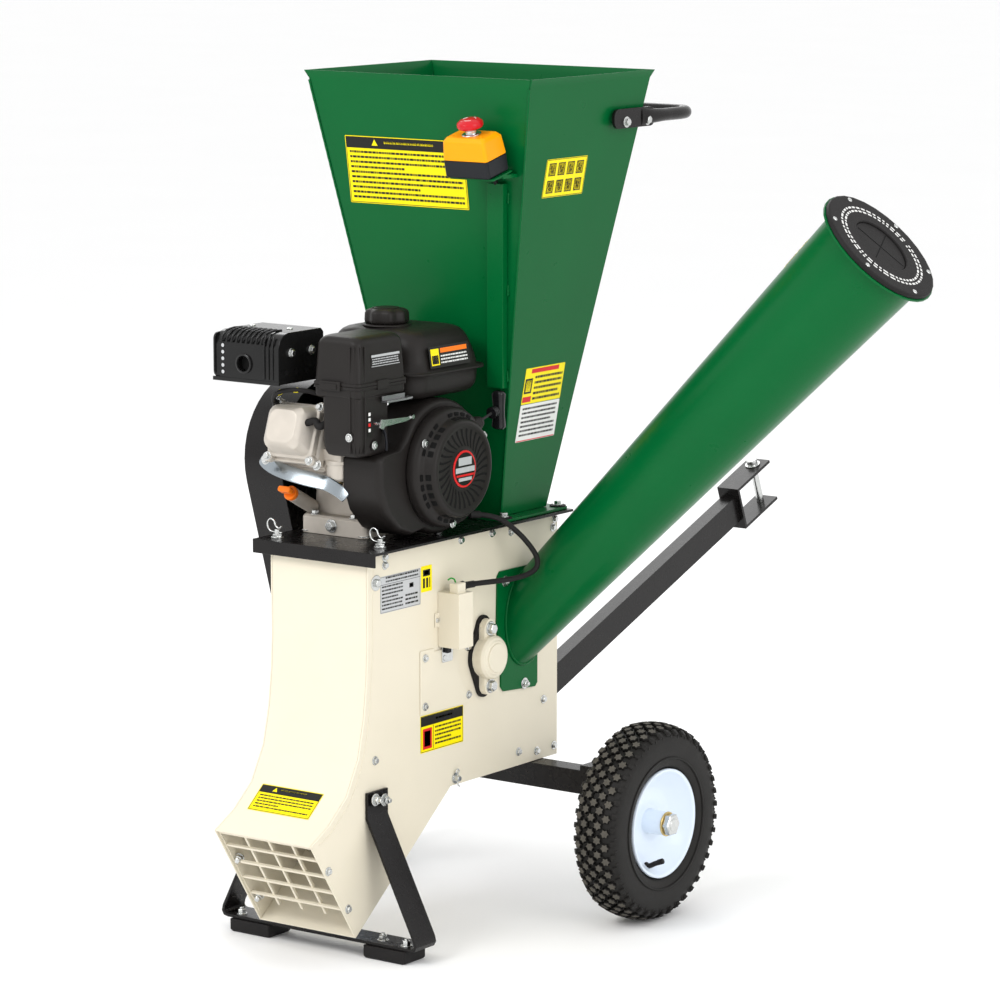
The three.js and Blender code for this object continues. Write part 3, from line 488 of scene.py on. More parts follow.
def rim(side, name):
    """A dished rim with its valve stem, and the nut and washer on the axle's end."""
    body = f"wheel_{name}"
    hub = facing((side * WHEEL_X, WHEEL_Y, AXLE_Z), (side, 0, 0))
    other = [(r, -x) for r, x in reversed(RIM_FACE[:11])]
    dish = [*RIM_FACE, (12.4, 38), (12.4, -38), (18.6, -36), (19, -5), *other]
    shape = Shape().add(lathe(dish, 80, closed=True), hub)
    shape.piece(f"wheel_rim_{name}", RIM, body, stands_for=[f"rim_{name}"])
    stem = Shape()
    turn = hub @ Matrix.Rotation(math.radians(250 if side > 0 else -70), 4, "Z")
    stem.add(sweep(curve([(70, 0, 17), (68, 0, 24), (64, 0, 31), (61, 0, 38)], 4), 4.0, 14), turn)
    collar = [(6.4, 0), (6.4, 2.2), (4.6, 3.4), (4.4, 5)]
    stem.add(lathe(collar, 18), turn @ facing((70, 0, 16), (-0.15, 0, 1)))
    stem.add(lathe([(4.6, 0), (4.6, 8), (3.6, 9.5)], 12), turn @ facing((61, 0, 37), (-0.4, 0, 1)))
    stem.piece(f"valve_stem_{name}", RUBBER, body, bevel=0.2)
    nut = Shape()
    end = facing((side * 342, WHEEL_Y, AXLE_Z), (side, 0, 0))
    nut.add(lathe([(19.4, -0.4), (19.4, 1.2), (18.8, 1.8)], 32), end)
    nut.add(lathe([(16.8, 2), (17.8, 3), (17.8, 11), (16, 12.6)], 6), end, 1)
    nut.add(lathe([(10.2, 11), (10.2, 13), (9, 13.8)], 24), end, 1)
    nut.piece(f"axle_nut_{name}", [BRASS, ZINC], "machine", bevel=0.2, slot="zinc_plate")


# ---- CAD nodes with their own shape ----


def dress(nodes, material, bevel=0.6, smooth=34):
    """Gives CAD nodes their finish and rounds their edges. Only modifiers and materials change."""
    for name in nodes:
        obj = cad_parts[name]
        obj.data.materials.clear()
        obj.data.materials.append(material)
        obj.data.polygons.foreach_set("material_index", [0] * len(obj.data.polygons))
        weld = obj.modifiers.new("weld", "WELD")
        weld.merge_threshold = 1e-5
        flat = obj.modifiers.new("flats", "DECIMATE")
        flat.decimate_type = "DISSOLVE"
        flat.angle_limit = math.radians(1.0)
        dress_mesh(obj, bevel, smooth)


DRESSED = [
    (CREAM, 0.7, ["side_panel_right", "side_panel_left", "front_panel", "rear_panel", "belly_panel",
                  "access_plate", "bearing_left"]),
    (CREAM, 1.6, ["bearing_right", "discharge_grille", "switch_cover"]),
    (GREEN, 0.7, ["hopper_front_panel", "hopper_rear_panel", "hopper_right_panel", "hopper_left_panel",
                  "hopper_base_flange", "conduit_channel", "estop_bracket", "chipper_chute"]),
    (BLACK, 0.8, ["engine_deck", "belt_guard", "axle_frame", "tow_bar", "foot_strap"]),
    (MUFFLER, 2.5, ["muffler"]),
    (SHELL, 1.5, ["fan_shroud", "recoil_cover", "air_cleaner", "fuel_tank"]),
    (NYLON, 1.5, ["estop_base"]),
    (AMBER, 1.5, ["estop_lid"]),
    (RED, 0.8, ["estop_button"]),
    (ORANGE, 0.5, ["oil_dipstick"]),
    (CAST, 1.2, ["engine_block", "valve_cover"]),
    (STEEL, 0.4, ["rotor_shaft", "chipper_disc", "hammer_rotor", "rotor_pulley", "engine_pulley",
                  "sizing_screen", "throttle_lever"]),
    (ZINC, 0.3, ["r_clip_left", "r_clip_right", "estop_stem", "hitch_pin", "choke_lever"]),
    (RUBBER, 1.0, ["rubber_foot_left", "rubber_foot_right", "drive_belt", "chute_mouth_guard",
                   "chute_flap"]),
]


def dress_all():
    """Gives every CAD node its finish and its edges."""
    for material, bevel, nodes in DRESSED:
        dress(nodes, material, bevel)


# ---- labels ----


def greeked(u0, u1, v0, v1, count, seed, mark=1):
    """Rows of short dashes that stand for print. There is no lettering."""
    dice = random.Random(seed)
    pitch = (v1 - v0) / count
    marks = []
    for row in range(count):
        u, top = u0, v1 - pitch * row
        end = u1 if row % 4 != 3 else u0 + (u1 - u0) * dice.uniform(0.4, 0.9)
        while u < end - 1:
            width = min(dice.uniform(2.2, 8.0), end - u)
            marks.append((u, u + width, top - pitch * 0.6, top - pitch * 0.15, mark))
            u += width + 1.1
    return marks


def frame_of(half_u, half_v, inset, line, mark=1):
    """Four bars that frame a label."""
    a, b = half_u - inset, half_v - inset
    return [(-a, a, b - line, b, mark), (-a, a, -b, line - b, mark), (-a, line - a, -b, b, mark),
            (a - line, a, -b, b, mark)]


def label(name, matrix, width, height, base, inks, marks, slot):
    """A printed sheet: a thin plate with raised marks (u0, u1, v0, v1, ink)."""
    shape = Shape()
    shape.add(prism(rounded(-width / 2, width / 2, -height / 2, height / 2, 1.5, 3), 0.0, 0.3), matrix)
    for u0, u1, v0, v1, ink in marks:
        shape.add(cuboid(u0, u1, v0, v1, 0.2, 0.42), matrix, ink)
    shape.piece(name, [base, *inks], slot=slot)


HOPPER_FRONT_UP = (0, -0.147, 0.989)
HOPPER_SIDE_UP = (0.1838, 0, 0.983)
HOPPER_FOOT, HOPPER_RISE = 624.1, 672.9
HOPPER_HALF_WIDTH, HOPPER_WIDENS = 85.7, 125.8
HOPPER_FRONT, HOPPER_LEANS = 206.6, 100


def hopper_side(z):
    """X of the hopper's right side at a height."""
    return HOPPER_HALF_WIDTH + HOPPER_WIDENS * (z - HOPPER_FOOT) / HOPPER_RISE


def on_hopper(y, z):
    """The matrix of a plane on the hopper's right side."""
    return axes((hopper_side(z), y, z), (0, 1, 0), HOPPER_SIDE_UP)


def warning_label(name, matrix, width, height, band, rows, seed, slot):
    """Yellow, with a border, rows of dashes, and a plain triangle on a black header."""
    u, v = width / 2, height / 2
    marks = [*frame_of(u, v, 1.2, 0.9), (-u + 2, u - 2, v - band, v - 2, 1)]
    marks += greeked(-u * 0.34, u * 0.5, v - band * 0.72, v - band * 0.3, 1, seed, 2)
    marks += greeked(-u + 7, u - 7, -v + 5, v - band - 3, rows, seed + 1)
    label(name, matrix, width, height, YELLOW, [INK, YELLOW], marks, slot)
    middle, base, size = -u * 0.5, v - band * 0.56, band * 0.3
    triangle = [(middle - size, base - size * 0.6), (middle + size, base - size * 0.6),
                (middle, base + size * 1.1)]
    Shape().add(prism(triangle, 0.35, 0.55), matrix).piece(name + "_sign", YELLOW, slot=slot)


def side_label():
    u, v = 54.5, 29
    marks = [*frame_of(u, v, 1, 0.8), (-u + 2, u - 2, v - 17, v - 2, 1)]
    marks += [(-u + 32, -u + 33, -v + 3, v - 18, 1), *greeked(-16, 26, v - 13, v - 6, 1, 6, 2)]
    marks += greeked(-u + 37, u - 6, -v + 6, v - 20, 5, 7)
    marks += [(-u + 6, -u + 29, -v + 5, v - 21, 3), (-u + 10, -u + 25, -v + 9, v - 25, 1)]
    inks = [INK, YELLOW, SIGN_RED]
    label("side_label", upright(SIDE, 40.7, 317), 109, 58, YELLOW, inks, marks, "cream_paint")


def rating_plate():
    u, v = 49.5, 28
    marks = [*frame_of(u, v, 0.8, 0.5), (-u + 1, u - 1, v - 13, v - 12.4, 1), *greeked(-36, 44, 16, 27, 2, 8)]
    marks += greeked(-u + 4, 6, -v + 3, 14, 7, 9) + greeked(12, u - 6, -v + 3, -6, 3, 10)
    marks += [(22, 32, 2, 9, 1), (23.5, 32.5, 3.5, 7.5, 0)]
    label("rating_plate", upright(SIDE, -62, 547.5), 99, 56, SILVER, [INK], marks, "cream_paint")


def grid_label():
    """Eight plain panels in two rows, each with three blocks."""
    marks = frame_of(53, 30, 0.8, 0.8)
    for k in range(8):
        u, v = -36 + 24 * (k % 4), 13.5 - 27 * (k // 4)
        marks += [(u - 9, u + 9, v - 10, v + 10, 1), (u - 7.6, u + 7.6, v - 8.6, v + 8.6, 2)]
        marks += [(u - 3, u + 3.5, v - 6, v - 1, 3), (u - 4.5, u - 1, v, v + 5.5, 3)]
        marks.append((u + 1, u + 5, v, v + 3, 3))
    inks = [INK, YELLOW, INK]
    label("hopper_grid_label", on_hopper(233, 1154.5), 106, 60, YELLOW, inks, marks, "green_paint")


def labels():
    """The plain decals of the body and the hopper."""
    front = axes((-37, 127.0, 1157.5), (1, 0, 0), HOPPER_FRONT_UP)
    warning_label("hopper_front_label", front, 228, 106, 19, 10, 3, "green_paint")
    flare = axes((-9, -213.6, 237.7), (1, 0, 0), (0, 0.768, 0.640))
    warning_label("outlet_label", flare, 118, 50, 15, 5, 5, "cream_paint")
    side_label()
    rating_plate()
    marks = [(-9, 9, 4, 14, 1), (-6, 6, 6, 12, 0), (-9, -4, -14, 1, 1), (-1, 4, -14, 1, 1), (7, 9, -14, 1, 1)]
    label("sound_label", upright(SIDE, 2.7, 557), 27, 40, YELLOW, [INK], marks, "cream_paint")
    grid_label()
    marks = [(-36, 36, 20, 27, 1), (-50, -28, -26, -17, 2), *greeked(-24, 48, -27, 16, 5, 11, 3)]
    marks += [(-49, -30, -12, 12, 3), (-46, -33, -9, 9, 0)]
    inks = [SIGN_RED, SIGN_RED, INK]
    label("hopper_lower_label", on_hopper(262.5, 829), 103, 58, YELLOW, inks, marks, "green_paint")
    marks = [*greeked(-45, 45, -24, 26, 7, 12, 1), (-50, 50, -29.5, -28, 2)]
    inks = [INK, SIGN_RED]
    label("hopper_white_label", on_hopper(262.5, 770), 103, 60, WHITE, inks, marks, "green_paint")


# ---- body ----

BODY_BOLTS = [(-100, 604.8), (-100, 592.3), (90, 604.3), (170, 604), (219.5, 599), (332, 590.5), (337, 604),
              (307, 318.5), (240, 245.8), (289, 238.4), (335.6, 239), (107, 435), (-126.3, 298.4)]
OUTLET_BOLTS = [(-240.5, 151), (-193.7, 83.5)]
PLATE_SCREWS = [(-3, 435), (-4, 360), (107, 360)]
FOLD = [(-127, 608), (-130, 520), (-131, 471), (-134, 420), (-141, 362), (-155, 304), (-185, 249),
        (-229, 211), (-262, 195)]
SHAFT_Y, SHAFT_Z = 143, 415


def hull(points):
    """The outer boundary of points in a plane, anticlockwise."""
    points = sorted(set((round(u, 4), round(v, 4)) for u, v in points))
    halves = []
    for run in (points, points[::-1]):
        chain = []
        for p in run:
            while len(chain) > 1 and turn_of(chain[-2], chain[-1], p) <= 0:
                chain.pop()
            chain.append(p)
        halves += chain[:-1]
    return halves


def turn_of(a, b, c):
    """Positive where a, b, c turn left."""
    return (b[0] - a[0]) * (c[1] - a[1]) - (b[1] - a[1]) * (c[0] - a[0])


def discs(*centres, sides=40):
    """The outline round several discs (u, v, radius)."""
    return hull([(u + x, v + y) for u, v, r in centres for x, y in circle(r, sides)])


def body_details():
    """Bolts, fold lines, bearings, switch, knives and clips."""
    for side, name in SIDES:
        at = [(side * SIDE, y, z) for y, z in BODY_BOLTS + OUTLET_BOLTS]
        many(f"body_bolts_{name}", bolt, at, (side, 0, 0), radius=5.0, height=3.6, washer=7.0)
        large = [(side * SIDE, -122, 568.5)]
        many(f"wide_washer_bolt_{name}", bolt, large, (side, 0, 0), radius=6.4, height=5, washer=12)
    screws = [(95, y, z) for y, z in PLATE_SCREWS]
    many("access_plate_screws", bolt, screws, (1, 0, 0), radius=4.4, height=3, washer=6.4)
    ridge = Shape()
    for side, _ in SIDES:
        ridge.add(sweep(curve([(side * SIDE, y, z) for y, z in FOLD], 6), 0.9, 8))
    ridge.piece("fold_lines", CREAM)
    bearings()
    cap_nuts()
    switch_details()
    knives()
    r_clip(-90, -128, "left")
    r_clip(88, -104, "right")


def bearings():
    """The right bearing's spacer and cap, and the bolts of both."""
    outline = discs((SHAFT_Y, SHAFT_Z, 36), (SHAFT_Y, 463, 16.5), (SHAFT_Y, 367, 16.5))
    spacer = Shape().add(prism(outline, 93.3, 98.8), ACROSS)
    spacer.piece("bearing_spacer", RUBBER, bevel=0.8)
    cap = Shape()
    cap.add(lathe([(34, 0), (34, 7), (31, 11), (24, 13.6)], 48), facing((109.6, SHAFT_Y, SHAFT_Z), (1, 0, 0)))
    cap.add(lathe([(23, 0), (23, 1.8), (21.5, 2.6)], 40), facing((122.9, SHAFT_Y, SHAFT_Z), (1, 0, 0)))
    cap.piece("bearing_cap", CREAM, bevel=0.6)
    for side, x, name in ((1, 110.4, "right"), (-1, -104.5, "left")):
        ears = [(x, SHAFT_Y, 460), (x, SHAFT_Y, 370)]
        many(f"bearing_bolts_{name}", bolt, ears, (side, 0, 0), radius=8.6, height=7.2, washer=11.5)


def cap_nuts():
    """The domed nuts inside the outlet."""
    dome = Shape()
    for y, z in ((-229.8, 148.6), (-183.8, 79.3)):
        turn = facing((-83, y - 3, z - 2), (0.15, -0.83, -0.56))
        dome.add(lathe([(8, 0), (8, 1.4)], 24), turn)
        dome.add(lathe([(6.6, 1.2), (6.6, 6), (5.6, 7), (5, 10), (3.2, 12.4), (1.2, 13)], 20), turn)
    dome.piece("outlet_cap_nuts", ZINC, bevel=0.2)


def knives():
    """Two chipping knives, each held by three screws, beside the slots of the disc."""
    blades, screws = Shape(), Shape()
    for turn in (25, 205):
        at = Matrix.Translation((0, SHAFT_Y, SHAFT_Z)) @ Matrix.Rotation(math.radians(turn), 4, "X")
        wedge = [(81.2, 8.6), (84.8, 11.8), (84.8, 36), (81.2, 36)]
        blades.add(rings([[(x, y, z) for x, z in wedge] for y in (60, 150)]), at)
        for y in (76, 105, 134):
            screws.add(lathe([(5.6, 0), (5.6, 1), (4.4, 1.8)], 20), at @ facing((84.7, y, 25), (1, 0, 0)))
    blades.piece("chipper_knives", CHROME, "rotor", bevel=0.2, slot="bare_steel")
    screws.piece("knife_screws", ZINC, "rotor", bevel=0.2)


def switch_details():
    """The interlock's plate and tongue, its cable gland, the earth wire and a screw."""
    plate = Shape()
    plate.add(prism(rounded(38, 65, 421, 449, 3), 95.2, 96.6), ACROSS)
    for y, z in ((44, 428), (57, 441)):
        plate.add(lathe([(4.2, 0), (4.2, 0.6), (3.4, 0.9)], 20), facing((96.6, y, z), (1, 0, 0)))
    plate.piece("interlock_plate", ZINC, bevel=0.3)
    tongue = Shape()
    tongue.add(cuboid(43, 53, 436, 447, 97.0, 103), ACROSS)
    tongue.piece("interlock_tongue", NYLON, bevel=0.8)
    gland = Shape()
    gland.add(lathe([(8.4, 0), (8.4, 3), (7, 4.4), (6.4, 7)], 8), facing((120, 56.3, 540), (0, 1, 0)))
    gland.piece("cable_gland", RUBBER, bevel=0.4)
    loop = [(116, 46, 547), (115, 44, 552), (112, 40, 554), (108, 37, 551)]
    wire = Shape().add(sweep(curve(loop, 4), 1.2, 10))
    wire.piece("earth_wire", EARTH, slot="black_rubber")
    many("cover_screw", screw, [(95.5, 27, 489)], (1, 0, 0), radius=4)


def r_clip(x, y, name):
    """A sprung wire clip: a straight leg through the stud and an arm that bows over it."""
    bend = [(9, 627.6), (0, 627.6), (-8, 627.7), (-14, 629.5), (-18.5, 635), (-18.5, 642), (-13, 647.4),
            (-6.5, 645), (-4, 639), (0, 635), (4.5, 634.6), (8.5, 637.5)]
    wire = Shape().add(sweep(curve([(x + u, y, z) for u, z in bend], 6), 1.35, 12))
    wire.piece(f"wire_clip_{name}", ZINC, f"clip_{name}", stands_for=[f"r_clip_{name}"])
    stud = Shape()
    here = Matrix.Translation((x, y, 0))
    stud.add(lathe([(9.6, 619.2), (9.6, 621), (8.6, 621.8)], 28), here)
    stud.add(lathe([(7.4, 621), (7.8, 621.6), (7.8, 625), (6.8, 625.8)], 6), here)
    stud.add(lathe([(4.2, 625.6), (4.2, 631.8), (3.4, 632.6)], 20), here)
    stud.piece(f"deck_stud_{name}", ZINC, bevel=0.2)


def foot_details():
    """The nuts of the foot strap, and a rod's end with its split pin."""
    for side, name in SIDES:
        nuts = [(side * 111, -131, 25), (side * 160, -137, 25)]
        many(f"foot_nuts_{name}", bolt, nuts, (0, 0, 1), radius=6.4, height=7, washer=9, thread=3)
        tabs = [(side * 103.6, -139, 242), (side * 103.6, -117, 238)]
        many(f"strap_nuts_{name}", bolt, tabs, (side, 0, 0), radius=6.6, height=6, washer=9.5, thread=5)
    rod = Shape()
    rod.add(lathe([(5, 0), (5, 8), (4, 10)], 18), facing((SIDE, 73.8, 234.3), (1, 0, 0)))
    rod.add(lathe([(8.6, 0), (8.6, 1.6)], 24), facing((SIDE, 73.8, 234.3), (1, 0, 0)))
    pin = [(98.5, 73.8, 243), (98.5, 73.8, 226), (99.5, 78, 221)]
    rod.add(sweep(curve(pin, 4), 1.2, 8))
    rod.add(sweep(curve([(98.5, 73.8, 242), (98.5, 77.5, 246), (98.5, 74, 249), (98.5, 70.6, 246),
                         (98.5, 73.4, 241)], 4), 1.1, 8))
    rod.piece("pinned_rod_end", ZINC, bevel=0.2)


# ---- engine ----

CRANK = (37, 725)


def loft(outline, levels):
    """An outline moved inwards by level's second value at each height, its first."""
    cu = sum(u for u, v in outline) / len(outline)
    cv = sum(v for u, v in outline) / len(outline)
    reach = max(math.hypot(u - cu, v - cv) for u, v in outline)
    loops = []
    for height, inset in levels:
        k = 1 - inset / reach
        loops.append([(cu + (u - cu) * k, cv + (v - cv) * k, height) for u, v in outline])
    return rings(loops)


def housing(u0, u1, v0, v1, levels, steps=7):
    """A box with rounded corners: levels are (height, inset, corner radius)."""
    return rings([[(u, v, z) for u, v in rounded(u0 + i, u1 - i, v0 + i, v1 - i, r, steps)]
                  for z, i, r in levels])


def fan_housing():
    """The black cowl round the flywheel, with a duct to the cylinder."""
    cy, cz = CRANK
    arc = [(cy + 103.6 * math.cos(math.radians(t)), cz + 103.6 * math.sin(math.radians(t)))
           for t in range(-117, 124, 6)]
    outline = [*arc, (-34, 800), (-52, 776), (-70, 762), (-112, 757), (-117, 748), (-117, 706), (-102, 670),
               (-74, 641), (-42, 628)]
    shape = Shape()
    shape.add(loft(outline, [(27.5, 2), (30, 0), (86, 0), (92, 2), (96, 6), (98, 12)]), ACROSS)
    shape.piece("flywheel_cowl", SHELL, stands_for=["fan_shroud"])


def recoil():
    """The starter's cover with its slots, badge and screws, and the rope's outlet."""
    hub = upright(0, *CRANK)
    cover = Shape()
    profile = [(91.5, 98.6), (92, 101), (92, 111), (89, 117), (84, 120), (79, 121), (77, 124), (75, 134),
               (72, 138), (69, 139.4), (64, 139.4), (62, 137.6), (33, 137.6), (31.5, 138.8), (28, 138.8)]
    cover.add(lathe(profile, 96), hub)
    cover.piece("recoil_housing", SHELL, stands_for=["recoil_cover"])
    recoil_slots(hub)
    recoil_badge(hub)
    screws = []
    for t in (28, 148, 268):
        y, z = CRANK[0] + 85 * math.cos(math.radians(t)), CRANK[1] + 85 * math.sin(math.radians(t))
        screws.append((119.2, y, z))
    many("recoil_screws", bolt, screws, (1, 0, 0), radius=4.8, height=3.4, washer=7)
    boss = Shape()
    neck = [(11, 0), (11, 6), (9, 9), (8.6, 12), (7.4, 13.6)]
    boss.add(lathe(neck, 28), facing((112, 102, 783), (0, 1, 0.24)))
    boss.add(lathe([(12, 0), (12, 14)], 28), facing((112, 90, 780), (0, 1, 0.24)))
    boss.piece("rope_outlet", SHELL, bevel=0.8)


def recoil_slots(hub):
    """Thirty curved slots on the disc, and six groups of square holes round the ring's edge, drawn as thin
    near-black sheets: painted shade in the openings.
    """
    dark = Shape()
    for k in range(30):
        turn = hub @ Matrix.Rotation(2 * math.pi * k / 30, 4, "Z")
        slot = [(35 + 25 * t, 11 * math.sin(1.5 * t) - 3) for t in (0, 0.2, 0.4, 0.6, 0.8, 1)]
        edge = [(r, v + 2.4 + 1.8 * (r - 35) / 25) for r, v in slot]
        dark.add(prism([*slot, *reversed(edge)], 137.4, 138.0), turn)
    for group in range(6):
        for k in range(4):
            turn = hub @ Matrix.Rotation(math.radians(60 * group + 11 * k + 4), 4, "Z")
            dark.add(prism(rounded(78.6, 84.6, -5, 5, 1.2, 3), 120.2, 121.4), turn)
            side = turn @ facing((75.8, 0, 129), (1, 0, 0.16))
            dark.add(prism(rounded(-4.6, 4.6, -4.6, 4.6, 1.2, 3), -0.4, 0.6), side)
    dark.piece("recoil_slots", SOOT_AND_HOLE_SHADE, slot="engine_plastic")


def recoil_badge(hub):
    """A red ring round a dark disc, with plain bars."""
    badge = Shape()
    badge.add(lathe([(28.4, 138.6), (28.4, 140), (27.6, 140.6), (25, 140.6)], 56), hub, 0)
    badge.add(lathe([(25.2, 140.2), (25.2, 141), (24.8, 141.2)], 56), hub, 1)
    for v0, v1, mark in ((6, 18, 3), (-5, 3, 3), (-11, -8, 0), (-18, -13, 3)):
        half = math.sqrt(24.2**2 - max(abs(v0), abs(v1))**2)
        badge.add(cuboid(-half, half, v0, v1, 141, 141.5), hub, mark)
    badge.piece("recoil_badge", [SIGN_RED, INK, SOOT_AND_HOLE_SHADE, SILVER], slot="red_plastic")


def starter():
    """The T-grip with its bellows, and the rope that joins it to the rope's outlet."""
    grip = Shape()
    levels = [(-30, 6, 4), (-29, 2.5, 6), (-25, 0, 7), (-8, 1.2, 7), (8, 1.2, 7), (25, 0, 7), (29, 2.5, 6),
              (30, 6, 4)]
    grip.add(housing(101, 123, 154, 171, [(798 + z, i, r) for z, i, r in levels]))
    neck = [(9, 0), (9.4, 2), (7.4, 3.4), (9, 5), (9.2, 6.6), (7.2, 8), (8.6, 9.6), (8.8, 11), (7.4, 12.4)]
    grip.add(lathe(neck, 28), facing((112, 142.5, 795), (0, 1, 0.2)))
    grip.piece("starter_grip", GRIP, "starter", stands_for=["pull_handle"], slot="engine_plastic")
    rope = Shape()
    first, last = Vector((112, 115.6, 787.2)), Vector((112, 143, 795))
    rope.add(sweep([first.lerp(last, k / 24) for k in range(25)], 2.2, 12))
    cord = rope.piece("starter_cord", ROPE, body=None, stands_for=["starter_rope"])
    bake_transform(cord)


def tank():
    """The fuel tank with its seam flange, cap and printed panel."""
    shape = Shape()
    filler = facing((-9, 40, 0), (0, 0, 1))
    levels = [(829, 24, 16), (831, 17, 20), (835, 11, 24), (842, 6, 28), (852, 3.6, 30), (866, 3, 30),
              (867, -5, 32), (871.4, -5, 32), (872.4, 3, 30), (888, 6, 30), (904, 10.5, 30), (915, 14, 30),
              (922, 17.5, 30), (927, 22, 28), (930.4, 28, 26), (932.4, 36, 24), (933.6, 52, 20)]
    shape.add(housing(-95, 100, -28, 150, levels, 9))
    shape.add(lathe([(38, 932), (38, 935), (35, 936)], 48), filler)
    shape.piece("fuel_tank_shell", SHELL, stands_for=["fuel_tank"])
    lobes = [(r * math.cos(t), r * math.sin(t)) for t in [2 * math.pi * k / 96 for k in range(96)]
             for r in [32.6 + 1.9 * math.cos(8 * t)]]
    cap = Shape()
    levels = [(936.3, 3), (938, 0.6), (942, 0), (952, 0.6), (956, 3), (958.6, 9), (959, 14)]
    cap.add(loft(lobes, levels), filler)
    cap.add(lathe([(20, 958.6), (19, 960), (16, 960.4)], 40), filler)
    cap.piece("filler_cap", SHELL, "tank_cap", stands_for=["fuel_cap"])
    panel = axes((97.6, 56, 893), (0, 1, 0), (-0.14, 0, 0.99))
    u, v = 50, 16.5
    marks = [(-u + 4, -u + 24, -v + 4, v - 4, 1), (-u + 6, -u + 22, -v + 6, v - 14, 0)]
    marks += [(-u + 28, u - 6, v - 11, v - 4, 2), *greeked(-u + 28, u - 6, -v + 4, v - 14, 3, 21, 3)]
    label("tank_label", panel, 100, 33, INK, [YELLOW, SIGN_ORANGE, WHITE], marks, "engine_plastic")


def air_cleaner():
    """Lid and base with ribs at the front corner, a latch, screws and a printed panel."""
    lid = [(846, 4, 6), (848, 1, 8), (851, 0, 9), (859.6, 0, 9), (860.4, -2, 10), (864, -2.2, 10),
           (864.6, -1, 9), (865.4, -2.2, 10), (869, -2, 10), (870, 0, 9), (926, 2.4, 12), (932, 5, 13),
           (936, 9, 13), (938, 15, 12)]
    shape = Shape()
    shape.add(housing(3, 88, -155, -38, lid))
    base = [(758, 10, 6), (760, 5, 8), (766, 2, 9), (780, 0, 9), (846, 0, 9), (848, 1, 9)]
    shape.add(housing(17, 87, -154, -78, base))
    for x, y in ((72, -154.6), (79, -153.6), (86, -147), (87.6, -139)):
        shape.add(prism(rounded(x - 1.3, x + 1.3, y - 1.3, y + 1.3, 1.2, 2), 764, 858))
        shape.add(prism(rounded(x - 2.2, x + 0.8, y - 0.6, y + 2, 1.2, 2), 872, 924))
    shape.piece("air_cleaner_shell", SHELL, bevel=0.5, stands_for=["air_cleaner"])
    latch = Shape()
    latch.add(cuboid(18, 57, -160, -157, 857.5, 871.5))
    latch.add(cuboid(24, 51, -161.4, -159.6, 860, 868))
    latch.add(cuboid(88.6, 91.4, -112, -84, 857.5, 871.5))
    latch.piece("air_cleaner_latches", SHELL, bevel=0.7)
    cleaner_screws()
    cleaner_labels()


def cleaner_screws():
    lip = lathe([(8.6, -1), (8.6, 1.4), (7.2, 1.6), (7, 0.2), (7, -1)], 32, closed=True)
    spots = (("front", (70, -154.4, 789), (0, -1, 0)), ("side", (87.4, -116.6, 774.8), (1, 0, 0)))
    for name, at, way in spots:
        ring = Shape().add(lip, facing(at, way))
        ring.piece(f"cleaner_screw_ring_{name}", SHELL)
        many(f"cleaner_screw_{name}", bolt, [at], way, radius=4.6, height=2.4, washer=6.6)


def cleaner_labels():
    panel = axes((86.9, -88, 901), (0, 1, 0), (-0.035, 0, 1))
    marks = [(-34, 34, 5, 8.6, 1), (-34, 34, -9, -8, 1), *greeked(-32, 32, -7, 3.4, 3, 31, 1)]
    label("cleaner_label", panel, 70, 22, SHELL, [SILVER], marks, "engine_plastic")
    marks = [(-2.6, 2.6, 12, 17, 1), (-2.6, 2.6, 4, 9, 1), (-2.6, 2.6, -4, 1, 2), (-2.6, 2.6, -12, -7, 1)]
    inks = [WHITE, SIGN_RED]
    label("choke_marks", upright(87.4, -128, 808), 8, 38, INK, inks, marks, "engine_plastic")


def muffler_guard():
    """Louvres, ribs, vent holes and screws on the exhaust guard."""
    ribs = Shape()
    for k in range(9):
        x = -160 + 9.5 * k
        ribs.add(sweep([(x, -171, 918), (x + 2, -170, 927), (x + 5, -164, 934.6), (x + 9, -152, 937.4),
                        (x + 12, -136, 937)], 1.9, 8))
    for x in (-62, -70, -78):
        ribs.add(sweep([(x, -170.4, 866), (x, -171, 900), (x, -170.4, 922), (x, -165, 932)], 1.7, 8))
    ribs.add(prism(rounded(-168, -66, 862, 930, 10), -179, -175.6), ACROSS)
    ribs.add(cuboid(-178, -50, -171, -168, 858, 864))
    ribs.piece("muffler_ribs", MUFFLER, bevel=0.5, slot="black_paint")
    lip = Shape()
    outlet = facing((-117, -169.6, 887), (0, -1, 0))
    tube = [(14.6, 0), (15, 3), (13.2, 3.8), (12, 3.4), (12, 0)]
    lip.add(lathe(tube, 36, closed=True), outlet)
    # A near-black band inside the outlet: soot, together with painted shade inside the pipe.
    lip.add(lathe([(12, -12), (12, -8)], 30), outlet, 1)
    lip.piece("exhaust_lip", [MUFFLER, SOOT_AND_HOLE_SHADE], bevel=0.2, slot="black_paint")
    holes = Shape()
    for z in (912, 902, 892, 882, 872):
        holes.add(lathe([(3, 0), (2.6, 0.5)], 18), facing((-158, -170.6, z), (0, -1, 0)))
    # The side holes are flat near-black discs on the guard: painted shade in the holes.
    for y in (-152, -128, -104, -80):
        holes.add(lathe([(4.6, 0), (4.2, 0.5)], 18), facing((-50.8, y, 876), (1, 0, 0)), 1)
    holes.piece("muffler_holes", [SILVER, SOOT_AND_HOLE_SHADE], slot="black_paint")
    many("muffler_screws", screw, [(-150, -110, 936), (-78, -110, 936)], (0, 0, 1), radius=5)
    nuts = [(-50.6, -140, 905), (-50.6, -92, 905)]
    many("muffler_nuts", bolt, nuts, (1, 0, 0), radius=5.4, height=4, washer=7.4)


# The cylinder leans back by 19 degrees. Its own -Y runs from the crank to the head.
TILT = Matrix.Translation((-50, *CRANK)) @ Matrix.Rotation(math.radians(-19), 4, "X")


